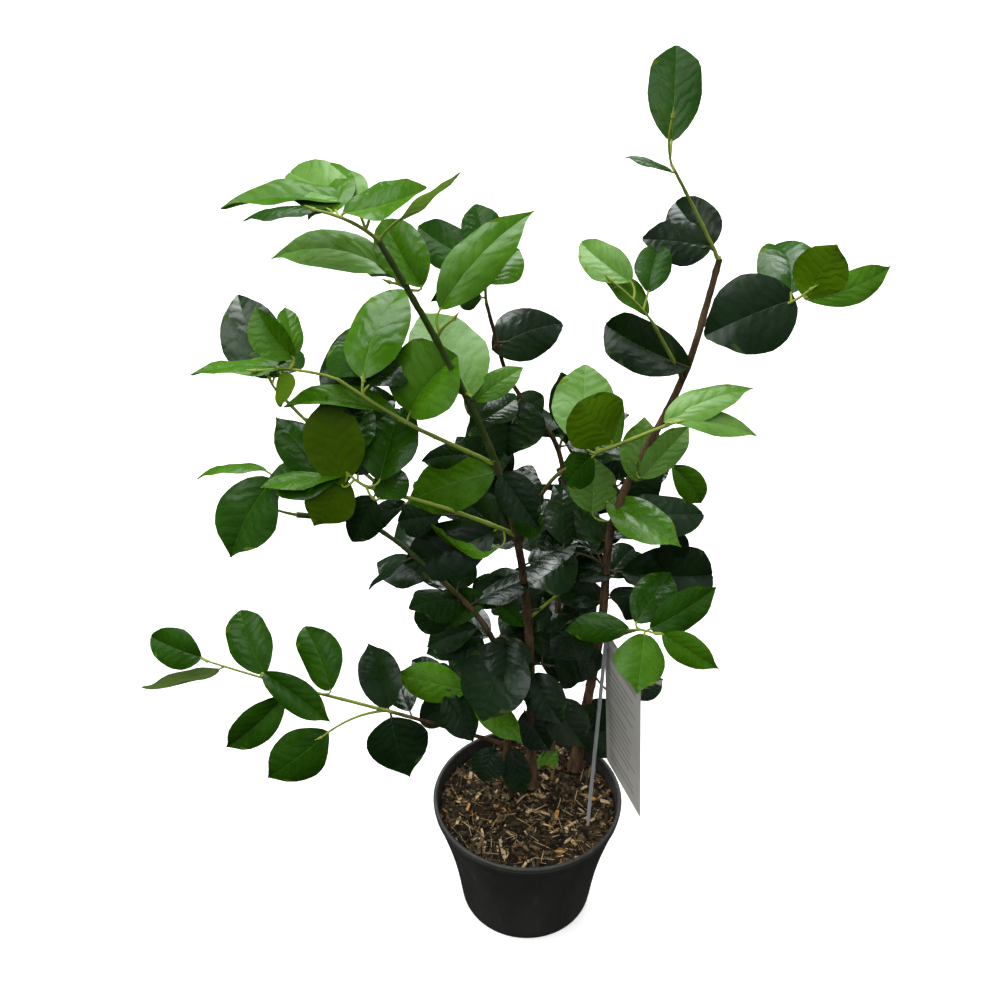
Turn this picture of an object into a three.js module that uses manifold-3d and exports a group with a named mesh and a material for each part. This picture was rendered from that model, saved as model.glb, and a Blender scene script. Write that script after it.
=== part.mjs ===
// Camellia shrub growing in its nursery pot.
// Millimetres, +Z up. The origin is the centre of the pot's flat underside, and the
// shrub's open side, with its tall slender shoots, looks towards -Y.
//
// Stems, boughs and shoots are tapering limbs: each grows through a few legs, and a
// leg is [length, heading, rise]. Headings turn from +X towards +Y, rises are up from
// level, both in degrees. A mass of foliage is an uneven pad that starts on its limb.
import * as THREE from "three";
import { mergeVertices } from "three/addons/utils/BufferGeometryUtils.js";
import Module from "manifold-3d";

const wasm = await Module();
wasm.setup();

// ---------------------------------------------------------------- driving dimensions
const seatGap = 0.3; // between pieces that touch or are cut by each other
const cutGap = 0.35; // how far a cutter is grown before it cuts its neighbour

const potHeight = 140;
const potRimRadius = 95;
const potBaseRadius = 67.5;
const potWall = 1.8;
const potFloor = 2.5;
const potSides = 24;
const collarDepth = 12; // the stiffening collar under the rim
const collarStep = 2.5; // how far the collar stands out of the wall
const lipDrop = 2; // rounding of the lip
const drainHoles = 4;
const drainRadius = 5;
const drainCircle = 46;
const drainSides = 8;

const mixTop = 124; // level of the potting mix
const mixFlare = 2; // the mix sinks this much where it meets the wall

const labelStick = { foot: [60, -25], width: 6, thickness: 1, height: 220, heading: 69, rise: 83 };
const labelTab = { width: 9, thickness: 1.8, height: 16 };
const labelCard = { width: 78, height: 172, thickness: 0.8, heading: 289, lean: 4, tabInset: 6 };

// girth is the diameter at the foot, tip the diameter at the end, flare the extra
// girth of a stem where it leaves the potting mix
const limbs = {
  stem_left: {
    foot: [5, 25], girth: 10, tip: 4, flare: 6,
    legs: [[260, 248, 85], [170, 238, 74], [145, 223, 66], [110, 227, 61]],
  },
  stem_right: {
    foot: [50, 50], girth: 11, tip: 5, flare: 6,
    legs: [[230, 313, 83], [110, 278, 85], [150, 360, 70], [105, 25, 77]],
  },
  stem_back: {
    foot: [25, 65], girth: 8, tip: 3, flare: 5,
    legs: [[295, 74, 86], [75, 109, 86], [75, 193, 54], [105, 217, 72]],
  },
  stem_mid: {
    foot: [-20, 35], girth: 8, tip: 3, flare: 5,
    legs: [[210, 256, 80], [165, 212, 59], [70, 204, 47], [50, 192, 9]],
  },
  bough_low_left: {
    on: "stem_mid", at: 0.12, girth: 4.6, tip: 3, into: "foliage_low_left_mid",
    legs: [[145, 203, 37], [95, 191, 28]],
  },
  bough_left_mid: {
    on: "stem_left", at: 0.51, girth: 4.4, tip: 3, into: "foliage_left_mid_upper",
    legs: [[75, 211, 37], [90, 208, 32]],
  },
  bough_left_back: {
    on: "bough_left_mid", at: 0.86, girth: 3.2, tip: 2.6, into: "foliage_left_back_tip",
    legs: [[70, 157, 35], [50, 172, 50]],
  },
  bough_left_upper: {
    on: "stem_left", at: 0.64, girth: 4, tip: 2.8, into: "foliage_left_upper_tip",
    legs: [[95, 205, 37], [75, 201, 43]],
  },
  bough_cross: {
    on: "stem_left", at: 0.49, girth: 4, tip: 2.8, into: "foliage_right_mid_tip",
    legs: [[75, 342, 70], [135, 331, 39]],
  },
  bough_right_low: {
    on: "stem_right", at: 0.32, girth: 4, tip: 3, into: "foliage_right_low",
    legs: [[110, 293, 44]],
  },
  bough_upper_left: {
    on: "stem_right", at: 0.82, girth: 3.6, tip: 2.6, into: "foliage_upper_left_tip",
    legs: [[85, 220, 56]],
  },
  bough_upper_right: {
    on: "stem_right", at: 0.9, girth: 3.6, tip: 2.8, into: "foliage_upper_right_tip",
    legs: [[75, 335, 24]],
  },
  bough_rear_left: {
    on: "stem_back", at: 0.45, girth: 4.4, tip: 3, into: "foliage_rear_left",
    legs: [[85, 135, 12]],
  },
  bough_rear_right: {
    on: "stem_right", at: 0.43, girth: 4.4, tip: 3, into: "foliage_rear_right",
    legs: [[100, 82, 8]],
  },
  shoot_top: {
    on: "stem_right", at: 0.99, girth: 3.2, tip: 2.4, into: "foliage_top_spray",
    legs: [[45, 192, 60], [55, 209, 57]],
  },
};

// A mass starts on its limb, at a share of the limb's length. Its length runs from there
// to the far tip; breadth and depth are the pad's other sizes.
const masses = {
  foliage_top_left_front: {
    on: "stem_left", at: 1, heading: 197, rise: 33,
    length: 95, breadth: 48, depth: 22, leaves: "young",
  },
  foliage_top_left_side: {
    on: "stem_left", at: 0.91, heading: 204, rise: 36,
    length: 105, breadth: 45, depth: 22, leaves: "young",
  },
  foliage_top_left_right: {
    on: "stem_left", at: 0.85, heading: 346, rise: 56,
    length: 120, breadth: 55, depth: 22, leaves: "young",
  },
  foliage_back_top: {
    on: "stem_back", at: 1, heading: 287, rise: 70,
    length: 95, breadth: 65, depth: 24, leaves: "grown",
  },
  foliage_back_side: {
    on: "stem_back", at: 0.95, heading: 342, rise: 7,
    length: 65, breadth: 50, depth: 20, leaves: "old",
  },
  foliage_left_upper_tip: {
    on: "bough_left_upper", at: 0.96, heading: 188, rise: 14,
    length: 95, breadth: 55, depth: 22, leaves: "grown",
  },
  foliage_left_upper_mid: {
    on: "bough_left_upper", at: 0.79, heading: 83, rise: 71,
    length: 80, breadth: 70, depth: 24, leaves: "grown",
  },
  foliage_left_upper_inner: {
    on: "stem_left", at: 0.71, heading: 204, rise: 21,
    length: 135, breadth: 55, depth: 22, leaves: "grown",
  },
  foliage_left_back_tip: {
    on: "bough_left_back", at: 0.97, heading: 162, rise: 66,
    length: 80, breadth: 60, depth: 22, leaves: "grown",
  },
  foliage_left_mid_upper: {
    on: "bough_left_mid", at: 1, heading: 168, rise: 48,
    length: 80, breadth: 75, depth: 24, leaves: "grown",
  },
  foliage_left_mid_tip: {
    on: "stem_mid", at: 1, heading: 201, rise: 34,
    length: 90, breadth: 70, depth: 22, leaves: "grown",
  },
  foliage_left_mid_front: {
    on: "bough_left_mid", at: 0.17, heading: 194, rise: 25,
    length: 135, breadth: 70, depth: 24, leaves: "grown",
  },
  foliage_left_low: {
    on: "stem_mid", at: 0.54, heading: 208, rise: 58,
    length: 120, breadth: 80, depth: 28, leaves: "old",
  },
  foliage_center_pale: {
    on: "stem_left", at: 0.71, heading: 160, rise: 60,
    length: 95, breadth: 65, depth: 22, leaves: "young",
  },
  foliage_center_dark: {
    on: "stem_back", at: 0.72, heading: 228, rise: 22,
    length: 95, breadth: 65, depth: 22, leaves: "old",
  },
  foliage_center: {
    on: "stem_right", at: 0.49, heading: 201, rise: 35,
    length: 115, breadth: 95, depth: 28, leaves: "old",
  },
  foliage_right_mid_tip: {
    on: "bough_cross", at: 0.98, heading: 329, rise: 33,
    length: 75, breadth: 40, depth: 20, leaves: "young",
  },
  foliage_right_mid_upper: {
    on: "bough_cross", at: 0.64, heading: 139, rise: 78,
    length: 80, breadth: 70, depth: 22, leaves: "young",
  },
  foliage_right_mid_lower: {
    on: "stem_right", at: 0.68, heading: 270, rise: 49,
    length: 105, breadth: 60, depth: 22, leaves: "grown",
  },
  foliage_right_front: {
    on: "stem_right", at: 0.58, heading: 309, rise: 36,
    length: 95, breadth: 50, depth: 22, leaves: "grown",
  },
  foliage_right_back: {
    on: "stem_right", at: 0.61, heading: 23, rise: -30,
    length: 120, breadth: 80, depth: 24, leaves: "old",
  },
  foliage_right_low: {
    on: "bough_right_low", at: 0.92, heading: 331, rise: 10,
    length: 75, breadth: 90, depth: 26, leaves: "young",
  },
  foliage_low_left_mid: {
    on: "bough_low_left", at: 0.95, heading: 193, rise: 3,
    length: 75, breadth: 100, depth: 22, leaves: "grown",
  },
  foliage_low_left_tip: {
    on: "bough_low_left", at: 0.95, heading: 191, rise: 33,
    length: 150, breadth: 80, depth: 22, leaves: "grown",
  },
  foliage_low_left_fork: {
    on: "bough_low_left", at: 0.6, heading: 200, rise: -6,
    length: 125, breadth: 60, depth: 20, leaves: "grown",
  },
  foliage_low_left_hang: {
    on: "bough_low_left", at: 0.6, heading: 296, rise: -65,
    length: 65, breadth: 60, depth: 18, leaves: "old",
  },
  foliage_base_left: {
    on: "stem_mid", at: 0.17, heading: 197, rise: 46,
    length: 180, breadth: 80, depth: 26, leaves: "old",
  },
  foliage_base_front: {
    on: "stem_mid", at: 0.25, heading: 259, rise: 65,
    length: 155, breadth: 80, depth: 28, leaves: "old",
  },
  foliage_base_right: {
    on: "stem_left", at: 0.21, heading: 324, rise: 49,
    length: 120, breadth: 75, depth: 26, leaves: "old",
  },
  foliage_base_mid: {
    on: "stem_right", at: 0.06, heading: 212, rise: 45,
    length: 125, breadth: 75, depth: 28, leaves: "old",
  },
  foliage_top_spray: {
    on: "shoot_top", at: 0.96, heading: 251, rise: 82,
    length: 92, breadth: 42, depth: 16, leaves: "grown",
  },
  foliage_upper_dark: {
    on: "stem_right", at: 0.99, heading: 179, rise: 30,
    length: 60, breadth: 50, depth: 20, leaves: "old",
  },
  foliage_upper_left_tip: {
    on: "bough_upper_left", at: 0.92, heading: 191, rise: 49,
    length: 90, breadth: 65, depth: 22, leaves: "grown",
  },
  foliage_upper_left_dark: {
    on: "stem_right", at: 0.82, heading: 162, rise: 28,
    length: 70, breadth: 50, depth: 20, leaves: "old",
  },
  foliage_upper_right_tip: {
    on: "bough_upper_right", at: 0.93, heading: 347, rise: 42,
    length: 85, breadth: 55, depth: 22, leaves: "young",
  },
  foliage_upper_right_dark: {
    on: "bough_upper_right", at: 0.27, heading: 8, rise: 55,
    length: 55, breadth: 65, depth: 22, leaves: "old",
  },
  foliage_rear_left: {
    on: "bough_rear_left", at: 0.92, heading: 135, rise: 50,
    length: 85, breadth: 90, depth: 24, leaves: "old",
  },
  foliage_rear_right: {
    on: "bough_rear_right", at: 0.93, heading: 75, rise: 50,
    length: 80, breadth: 95, depth: 26, leaves: "old",
  },
  foliage_rear_low: {
    on: "stem_back", at: 0.22, heading: 96, rise: 20,
    length: 100, breadth: 95, depth: 28, leaves: "old",
  },
  foliage_rear_top: {
    on: "stem_back", at: 0.67, heading: 62, rise: 30,
    length: 75, breadth: 75, depth: 22, leaves: "grown",
  },
};

// ------------------------------------------------------------------------- materials
const surfaces = {
  pot: new THREE.MeshStandardMaterial({ color: 0x1c1d1f, roughness: 0.55, metalness: 0 }),
  mix: new THREE.MeshStandardMaterial({ color: 0x6e573f, roughness: 0.95, metalness: 0 }),
  stem: new THREE.MeshStandardMaterial({ color: 0x5b4030, roughness: 0.8, metalness: 0 }),
  shoot: new THREE.MeshStandardMaterial({ color: 0x7d8f3c, roughness: 0.6, metalness: 0 }),
  old: new THREE.MeshStandardMaterial({ color: 0x16301f, roughness: 0.4, metalness: 0 }),
  grown: new THREE.MeshStandardMaterial({ color: 0x2c6a24, roughness: 0.4, metalness: 0 }),
  young: new THREE.MeshStandardMaterial({ color: 0x4f9a35, roughness: 0.4, metalness: 0 }),
  label: new THREE.MeshStandardMaterial({ color: 0xc9c9c4, roughness: 0.5, metalness: 0 }),
};

const plant = new THREE.Group();
plant.name = "camellia_in_pot";

function addMesh(name, geometry, material) {
  const mesh = new THREE.Mesh(geometry, material);
  mesh.name = name;
  plant.add(mesh);
}

// ------------------------------------------------------------- solids: join and cut
function merged(geometry) {
  const bare = geometry.clone();
  bare.deleteAttribute("normal");
  bare.deleteAttribute("uv");
  return mergeVertices(bare, 1e-4);
}

function toSolid(geometry) {
  const closed = merged(geometry);
  return new wasm.Manifold(new wasm.Mesh({
    numProp: 3,
    vertProperties: new Float32Array(closed.attributes.position.array),
    triVerts: new Uint32Array(closed.index.array),
  }));
}

// Flat-shaded triangles of a joined or cut solid.
function toGeometry(solid) {
  const mesh = solid.getMesh();
  const geometry = new THREE.BufferGeometry();
  geometry.setAttribute("position", new THREE.BufferAttribute(new Float32Array(mesh.vertProperties), 3));
  geometry.setIndex(new THREE.BufferAttribute(new Uint32Array(mesh.triVerts), 1));
  geometry.computeVertexNormals();
  return geometry;
}

// A cut can leave crumbs beside the piece: only the largest body is kept.
function largest(solid) {
  const bodies = solid.decompose();
  return bodies.reduce((best, body) => (body.volume() > best.volume() ? body : best));
}

// -------------------------------------------------------------------------- the pot
const lipInset = 0.5; // the collar leans in by this much below the lip

function makePot() {
  const wallTop = potHeight - collarDepth;
  const slope = (potRimRadius - collarStep - potBaseRadius) / wallTop;
  const outerAt = (z) => potBaseRadius + slope * z;
  const innerAt = (z) => outerAt(z) - potWall;
  const profile = [
    [0, 0],
    [potBaseRadius, 0],
    [outerAt(wallTop), wallTop],
    [potRimRadius - lipInset, wallTop],
    [potRimRadius, potHeight - lipDrop],
    [potRimRadius - lipDrop, potHeight],
    [outerAt(wallTop), potHeight],
    [innerAt(wallTop), potHeight - lipDrop],
    [innerAt(wallTop), wallTop],
    [innerAt(potFloor), potFloor],
    [0, potFloor],
  ].map(([r, z]) => new THREE.Vector2(r, z));
  let shell = toSolid(new THREE.LatheGeometry(profile, potSides).rotateX(Math.PI / 2));
  for (let i = 0; i < drainHoles; i += 1) {
    const angle = (i * 2 * Math.PI) / drainHoles;
    const hole = new THREE.CylinderGeometry(drainRadius, drainRadius, potFloor * 3, drainSides);
    hole.rotateX(Math.PI / 2);
    hole.translate(drainCircle * Math.cos(angle), drainCircle * Math.sin(angle), potFloor / 2);
    shell = shell.subtract(toSolid(hole));
  }
  return { shell, innerAt };
}

const mixShoulder = 8; // breadth of the sloping edge of the mix

function makeMix(innerAt) {
  const bottom = potFloor + seatGap;
  const edge = mixTop - mixFlare;
  const profile = [
    [0, bottom],
    [innerAt(bottom) - seatGap, bottom],
    [innerAt(edge) - seatGap, edge],
    [innerAt(edge) - mixShoulder, mixTop],
    [0, mixTop],
  ].map(([r, z]) => new THREE.Vector2(r, z));
  return new THREE.LatheGeometry(profile, potSides).rotateX(Math.PI / 2);
}

// ---------------------------------------------------------------------------- limbs
function direction(heading, rise) {
  const turn = THREE.MathUtils.degToRad(heading);
  const lift = THREE.MathUtils.degToRad(rise);
  return new THREE.Vector3(
    Math.cos(lift) * Math.cos(turn),
    Math.cos(lift) * Math.sin(turn),
    Math.sin(lift),
  );
}

function growRoute(start, legs) {
  const knots = [start.clone()];
  for (const [length, heading, rise] of legs) {
    knots.push(knots.at(-1).clone().addScaledVector(direction(heading, rise), length));
  }
  return new THREE.CatmullRomCurve3(knots, false, "centripetal");
}

// A closed tapering limb: a plain cylinder bent along the route, ring by ring.
function bendLimb(route, radiusAt, sides, rings) {
  const geometry = merged(new THREE.CylinderGeometry(1, 1, 1, sides, rings));
  const frames = route.computeFrenetFrames(rings, false);
  const spots = route.getSpacedPoints(rings);
  const position = geometry.attributes.position;
  for (let i = 0; i < position.count; i += 1) {
    const share = position.getY(i) + 0.5;
    const ring = Math.round(share * rings);
    const radius = radiusAt(share);
    const spot = spots[ring].clone();
    spot.addScaledVector(frames.normals[ring], position.getZ(i) * radius);
    spot.addScaledVector(frames.binormals[ring], position.getX(i) * radius);
    position.setXYZ(i, spot.x, spot.y, spot.z);
  }
  return geometry;
}

const stemSides = 7;
const boughSides = 6;
const ringSpacing = 45; // length of limb to each ring
const flareLength = 22; // height over which a stem swells to its foot

const grown = {};

function growLimb(name, limb) {
  const isStem = limb.foot !== undefined;
  const start = isStem
    ? new THREE.Vector3(limb.foot[0], limb.foot[1], mixTop + seatGap)
    : grown[limb.on].route.getPointAt(limb.at);
  const route = growRoute(start, limb.legs);
  const length = route.getLength();
  const rings = Math.max(4, Math.round(length / ringSpacing));
  const radiusAt = (share) => {
    const taper = THREE.MathUtils.lerp(limb.girth, limb.tip, share) / 2;
    const flare = isStem ? (limb.flare / 2) * Math.exp((-share * length) / flareLength) : 0;
    return taper + flare;
  };
  const sides = isStem ? stemSides : boughSides;
  const build = (extra) => toSolid(bendLimb(route, (share) => radiusAt(share) + extra, sides, rings));
  let solid = build(0);
  const cutter = build(cutGap);
  if (isStem) {
    // the foot is one flat cut, level with the potting mix
    solid = solid.trimByPlane([0, 0, 1], mixTop + seatGap);
  } else {
    solid = largest(solid.subtract(grown[limb.on].cutter));
  }
  grown[name] = { route, solid, cutter, into: limb.into };
}

// --------------------------------------------------------------------------- masses
const lightSide = direction(-90, 35); // the leaves turn to the light on this side
const padSides = 7;
const padRings = 7;
const lobeSwell = 0.16; // how far the leaf clusters stand out of a pad's outline
const rootOverlap = 3; // a pad starts this far inside its limb before it is cut
const padSag = 0.06; // a pad's tip hangs by this share of its length
const padRoughness = 0.2; // how unevenly a pad's skin lies
const padRootWidth = 0.85; // breadth at the root, as a share of the middle's
const padTipWidth = 1.15; // and at the tip
const lobeSpacing = 45; // length of pad to each lobe
const firstSeed = 11;
const seedStep = 7;

// Small seeded noise, the same on every run.
function seededNoise(seed) {
  let state = seed;
  return () => {
    state = (state * 1664525 + 1013904223) % 4294967296;
    return state / 4294967296;
  };
}

function growMass(mass, seed, extra) {
  const along = direction(mass.heading, mass.rise);
  const face = lightSide.clone().addScaledVector(along, -lightSide.dot(along)).normalize();
  const across = new THREE.Vector3().crossVectors(along, face);
  const root = grown[mass.on].route.getPointAt(mass.at).addScaledVector(along, -rootOverlap);
  const half = (mass.length + rootOverlap) / 2;
  const noise = seededNoise(seed);
  const geometry = merged(new THREE.SphereGeometry(1, padSides, padRings));
  const position = geometry.attributes.position;
  const lobes = 2 + Math.round(mass.length / lobeSpacing);
  for (let i = 0; i < position.count; i += 1) {
    const u = position.getY(i);
    const side = position.getX(i);
    const up = position.getZ(i);
    const reach = (1 + u) / 2;
    const lobe = 1 + lobeSwell * Math.sign(side) * Math.sin(lobes * Math.PI * reach);
    const rough = 1 + padRoughness * (noise() - 0.5);
    const widen = THREE.MathUtils.lerp(padRootWidth, padTipWidth, reach);
    const spot = root.clone().addScaledVector(along, half * (1 + u));
    spot.addScaledVector(across, side * lobe * widen * (mass.breadth / 2) * rough);
    spot.addScaledVector(face, up * rough * widen * (mass.depth / 2));
    spot.z -= padSag * mass.length * reach * reach;
    position.setXYZ(i, spot.x, spot.y, spot.z);
  }
  if (extra > 0) {
    growOutwards(geometry, extra);
  }
  return toSolid(geometry);
}

function growOutwards(geometry, distance) {
  geometry.computeVertexNormals();
  const { position, normal } = geometry.attributes;
  for (let i = 0; i < position.count; i += 1) {
    position.setXYZ(
      i,
      position.getX(i) + normal.getX(i) * distance,
      position.getY(i) + normal.getY(i) * distance,
      position.getZ(i) + normal.getZ(i) * distance,
    );
  }
}

// ---------------------------------------------------------------------------- label
// A stiff stick stands in the mix. The tab at its top carries a blank plastic card.
function placedBox(size, axes, centre) {
  const box = new THREE.BoxGeometry(...size);
  box.applyMatrix4(new THREE.Matrix4().makeBasis(...axes));
  return toSolid(box.translate(centre.x, centre.y, centre.z));
}

const stickSpare = 4; // extra length below the mix's top, trimmed off level

function makeLabel(extra) {
  const grow = 2 * extra;
  const up = direction(labelStick.heading, labelStick.rise);
  const cardSide = direction(labelCard.heading, 0);
  const cardUp = direction(180, 90 - labelCard.lean);
  const cardFace = new THREE.Vector3().crossVectors(cardSide, cardUp).normalize();
  const cardTop = new THREE.Vector3().crossVectors(cardFace, cardSide);
  const cardAxes = [cardSide, cardTop, cardFace];
  const stickFace = new THREE.Vector3().crossVectors(cardSide, up).normalize();
  const stickSide = new THREE.Vector3().crossVectors(up, stickFace);
  const foot = new THREE.Vector3(...labelStick.foot, mixTop + seatGap);
  const head = foot.clone().addScaledVector(up, labelStick.height);
  const middle = foot.clone().add(head).multiplyScalar(0.5).addScaledVector(up, -stickSpare / 2);
  let stick = placedBox(
    [labelStick.width + grow, labelStick.height + stickSpare, labelStick.thickness + grow],
    [stickSide, up, stickFace],
    middle,
  );
  const tab = placedBox(
    [labelTab.width + grow, labelTab.height + grow, labelTab.thickness + grow],
    cardAxes,
    head,
  );
  stick = stick.add(tab).trimByPlane([0, 0, 1], mixTop + seatGap);
  const back = (labelTab.thickness + labelCard.thickness) / 2 + seatGap;
  const centre = head.clone().addScaledVector(cardFace, -back);
  centre.addScaledVector(cardSide, labelCard.width / 2 - labelCard.tabInset);
  centre.addScaledVector(cardTop, labelTab.height / 2 - labelCard.height / 2);
  const card = placedBox(
    [labelCard.width + grow, labelCard.height + grow, labelCard.thickness + grow],
    cardAxes,
    centre,
  );
  return { stick, card };
}

// ------------------------------------------------------------------------- assembly
const { shell, innerAt } = makePot();
addMesh("pot", toGeometry(shell), surfaces.pot);
addMesh("potting_mix", makeMix(innerAt), surfaces.mix);

for (const [name, limb] of Object.entries(limbs)) {
  growLimb(name, limb);
}

const label = makeLabel(0);
addMesh("label_stick", toGeometry(label.stick), surfaces.label);
addMesh("label_card", toGeometry(label.card), surfaces.label);

const labelCutter = makeLabel(cutGap);
const cutters = [labelCutter.stick, labelCutter.card];
for (const [index, [name, mass]] of Object.entries(masses).entries()) {
  const seed = firstSeed + index * seedStep;
  let solid = growMass(mass, seed, 0);
  for (const limb of Object.values(grown)) {
    if (limb.into !== name) {
      solid = solid.subtract(limb.cutter);
    }
  }
  for (const earlier of cutters) {
    solid = solid.subtract(earlier);
  }
  solid = largest(solid);
  const cutter = growMass(mass, seed, cutGap);
  cutters.push(cutter);
  const bough = Object.values(grown).find((limb) => limb.into === name);
  if (bough !== undefined) {
    bough.solid = largest(bough.solid.subtract(cutter));
  }
  addMesh(name, toGeometry(solid), surfaces[mass.leaves]);
}

for (const [name, limb] of Object.entries(grown)) {
  const isShoot = name.startsWith("shoot") || name.startsWith("bough");
  addMesh(name, toGeometry(limb.solid), isShoot ? surfaces.shoot : surfaces.stem);
}

export default plant;
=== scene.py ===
import math
import random
import re

import bpy
import numpy as np
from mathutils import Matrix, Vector


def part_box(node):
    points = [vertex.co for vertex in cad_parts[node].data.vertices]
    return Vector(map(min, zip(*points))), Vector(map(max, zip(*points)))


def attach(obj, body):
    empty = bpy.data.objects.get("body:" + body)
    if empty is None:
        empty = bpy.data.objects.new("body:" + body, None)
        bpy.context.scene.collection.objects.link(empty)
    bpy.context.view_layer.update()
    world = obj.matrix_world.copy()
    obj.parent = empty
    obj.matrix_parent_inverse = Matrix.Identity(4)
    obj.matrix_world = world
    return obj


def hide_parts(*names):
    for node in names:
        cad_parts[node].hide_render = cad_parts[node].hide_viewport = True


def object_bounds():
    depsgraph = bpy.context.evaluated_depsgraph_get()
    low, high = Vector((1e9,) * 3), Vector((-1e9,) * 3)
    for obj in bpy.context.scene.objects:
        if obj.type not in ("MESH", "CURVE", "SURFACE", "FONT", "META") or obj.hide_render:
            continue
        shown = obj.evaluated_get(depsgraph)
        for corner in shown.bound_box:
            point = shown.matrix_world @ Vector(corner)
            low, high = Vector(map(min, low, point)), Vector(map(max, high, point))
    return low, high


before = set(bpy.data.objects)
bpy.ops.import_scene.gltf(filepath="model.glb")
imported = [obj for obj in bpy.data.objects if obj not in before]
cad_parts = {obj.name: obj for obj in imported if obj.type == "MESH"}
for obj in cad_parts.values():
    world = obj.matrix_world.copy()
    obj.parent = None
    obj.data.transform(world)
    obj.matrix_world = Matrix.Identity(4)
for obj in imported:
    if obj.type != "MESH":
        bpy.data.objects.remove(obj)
cadBox = [list(corner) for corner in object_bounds()]
scene = bpy.context.scene


# Small tools for node trees and meshes

def plug(tree, value, socket):
    if isinstance(value, Wire):
        value = value.socket
    if isinstance(value, bpy.types.NodeSocket):
        tree.links.new(value, socket)
    else:
        socket.default_value = value


def addNode(tree, kind, inputs=None, **settings):
    node = tree.nodes.new(kind)
    for name, value in settings.items():
        setattr(node, name, value)
    for key, value in (inputs or {}).items():
        plug(tree, value, node.inputs[key])
    return node


class Wire:  # a socket that adds and multiplies like a number, in shader and geometry trees alike
    def __init__(self, tree, socket, isVector=False):
        self.tree = tree
        self.socket = socket
        self.isVector = isVector

    def math(self, operation, *others):
        kind = "ShaderNodeVectorMath" if self.isVector else "ShaderNodeMath"
        inputs = dict(enumerate((self, *others)))
        return read(self.tree, kind, inputs, isVector=self.isVector, operation=operation)

    def __add__(self, other):
        return self.math("ADD", other)

    def __sub__(self, other):
        return self.math("SUBTRACT", other)

    def __mul__(self, other):
        if not self.isVector:
            return self.math("MULTIPLY", other)
        inputs = {0: self, "Scale": other}
        return read(self.tree, "ShaderNodeVectorMath", inputs, isVector=True, operation="SCALE")

    def __truediv__(self, other):
        return self.math("DIVIDE", other)


def read(tree, kind, inputs=None, output=0, isVector=False, **settings):  # one output of a new node
    return Wire(tree, addNode(tree, kind, inputs, **settings).outputs[output], isVector)


def axes(tree, vector):
    return [Wire(tree, output) for output in addNode(tree, "ShaderNodeSeparateXYZ", {0: vector}).outputs]


def stretched(tree, place, factors):
    return read(tree, "ShaderNodeVectorMath", {0: place, 1: factors}, isVector=True, operation="MULTIPLY")


def objectPlace(tree):
    return read(tree, "ShaderNodeTexCoord", output="Object")


def noise(tree, place, scale, detail, roughness=0.5):
    inputs = {"Vector": place, "Scale": scale, "Detail": detail, "Roughness": roughness}
    return read(tree, "ShaderNodeTexNoise", inputs, "Fac")


def ramp(tree, value, low, high, easing="SMOOTHSTEP"):  # 0 up to low, 1 from high on
    inputs = {"Value": value, "From Min": low, "From Max": high}
    return read(tree, "ShaderNodeMapRange", inputs, interpolation_type=easing)


def blend(tree, share, ground, over):
    inputs = {"Factor": share, "A": ground, "B": over}
    return Wire(tree, addNode(tree, "ShaderNodeMix", inputs, data_type="RGBA").outputs["Result"])


def opaque(color):
    return (*color, 1)


def named(tree, name, kind="FLOAT"):  # an attribute of the geometry, by its name
    isVector = kind == "FLOAT_VECTOR"
    return read(tree, "GeometryNodeInputNamedAttribute", {"Name": name}, isVector=isVector, data_type=kind)


def painted(tree, geometry, material, selection=True):
    inputs = {"Geometry": geometry, "Selection": selection, "Material": material}
    return read(tree, "GeometryNodeSetMaterial", inputs)


def startTree(name, treeKind, inputs, outputs):  # a socket is told by its type's name or by its default
    tree = bpy.data.node_groups.new(name, treeKind)
    for way, sockets in (("INPUT", inputs), ("OUTPUT", outputs)):
        for label, given in sockets.items():
            kind = {str: given, float: "Float"}.get(type(given), "Vector")
            socket = tree.interface.new_socket(label, in_out=way, socket_type="NodeSocket" + kind)
            if given != kind:
                socket.default_value = given
    entry = tree.nodes.new("NodeGroupInput").outputs
    leave = tree.nodes.new("NodeGroupOutput").inputs
    return tree, {label: Wire(tree, entry[label]) for label in inputs}, leave


def placeGroup(tree, group, **values):
    node = addNode(tree, "ShaderNodeGroup", values, node_tree=group)
    return {output.name: Wire(tree, output) for output in node.outputs}


def startMaterial(name, constants):
    material = bpy.data.materials.new(name)
    material.use_nodes = True
    shader = material.node_tree.nodes["Principled BSDF"]
    for label, value in constants.items():
        shader.inputs[label].default_value = value
    return material, material.node_tree, shader


def addBump(tree, shader, height, distance, strength):
    bump = read(tree, "ShaderNodeBump", {"Height": height, "Distance": distance, "Strength": strength})
    plug(tree, bump, shader.inputs["Normal"])


def makeMesh(name, points, faces=(), edges=()):
    mesh = bpy.data.meshes.new(name)
    mesh.from_pydata([tuple(p) for p in points], list(edges), [tuple(f) for f in faces])
    piece = bpy.data.objects.new(name, mesh)
    scene.collection.objects.link(piece)
    return piece


def joinRings(rings, isOutward):  # the faces between each ring of corners and the next
    faces = []
    for a, b in zip(rings, rings[1:]):
        for k in range(len(a)):
            n = (k + 1) % len(a)
            corners = [a[k], a[n], b[n], b[k]] if isOutward else [a[k], b[k], b[n], a[n]]
            faces.append(list(dict.fromkeys(corners)))
    return faces


def circle(sides):
    return [(math.cos(math.tau * k / sides), math.sin(math.tau * k / sides)) for k in range(sides)]


def setAttribute(piece, name, values, kind="FLOAT"):
    attribute = piece.data.attributes.new(name, kind, "POINT")
    flat = np.array(values, np.float32).reshape(-1)
    attribute.data.foreach_set("vector" if kind == "FLOAT_VECTOR" else "value", flat)


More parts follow.
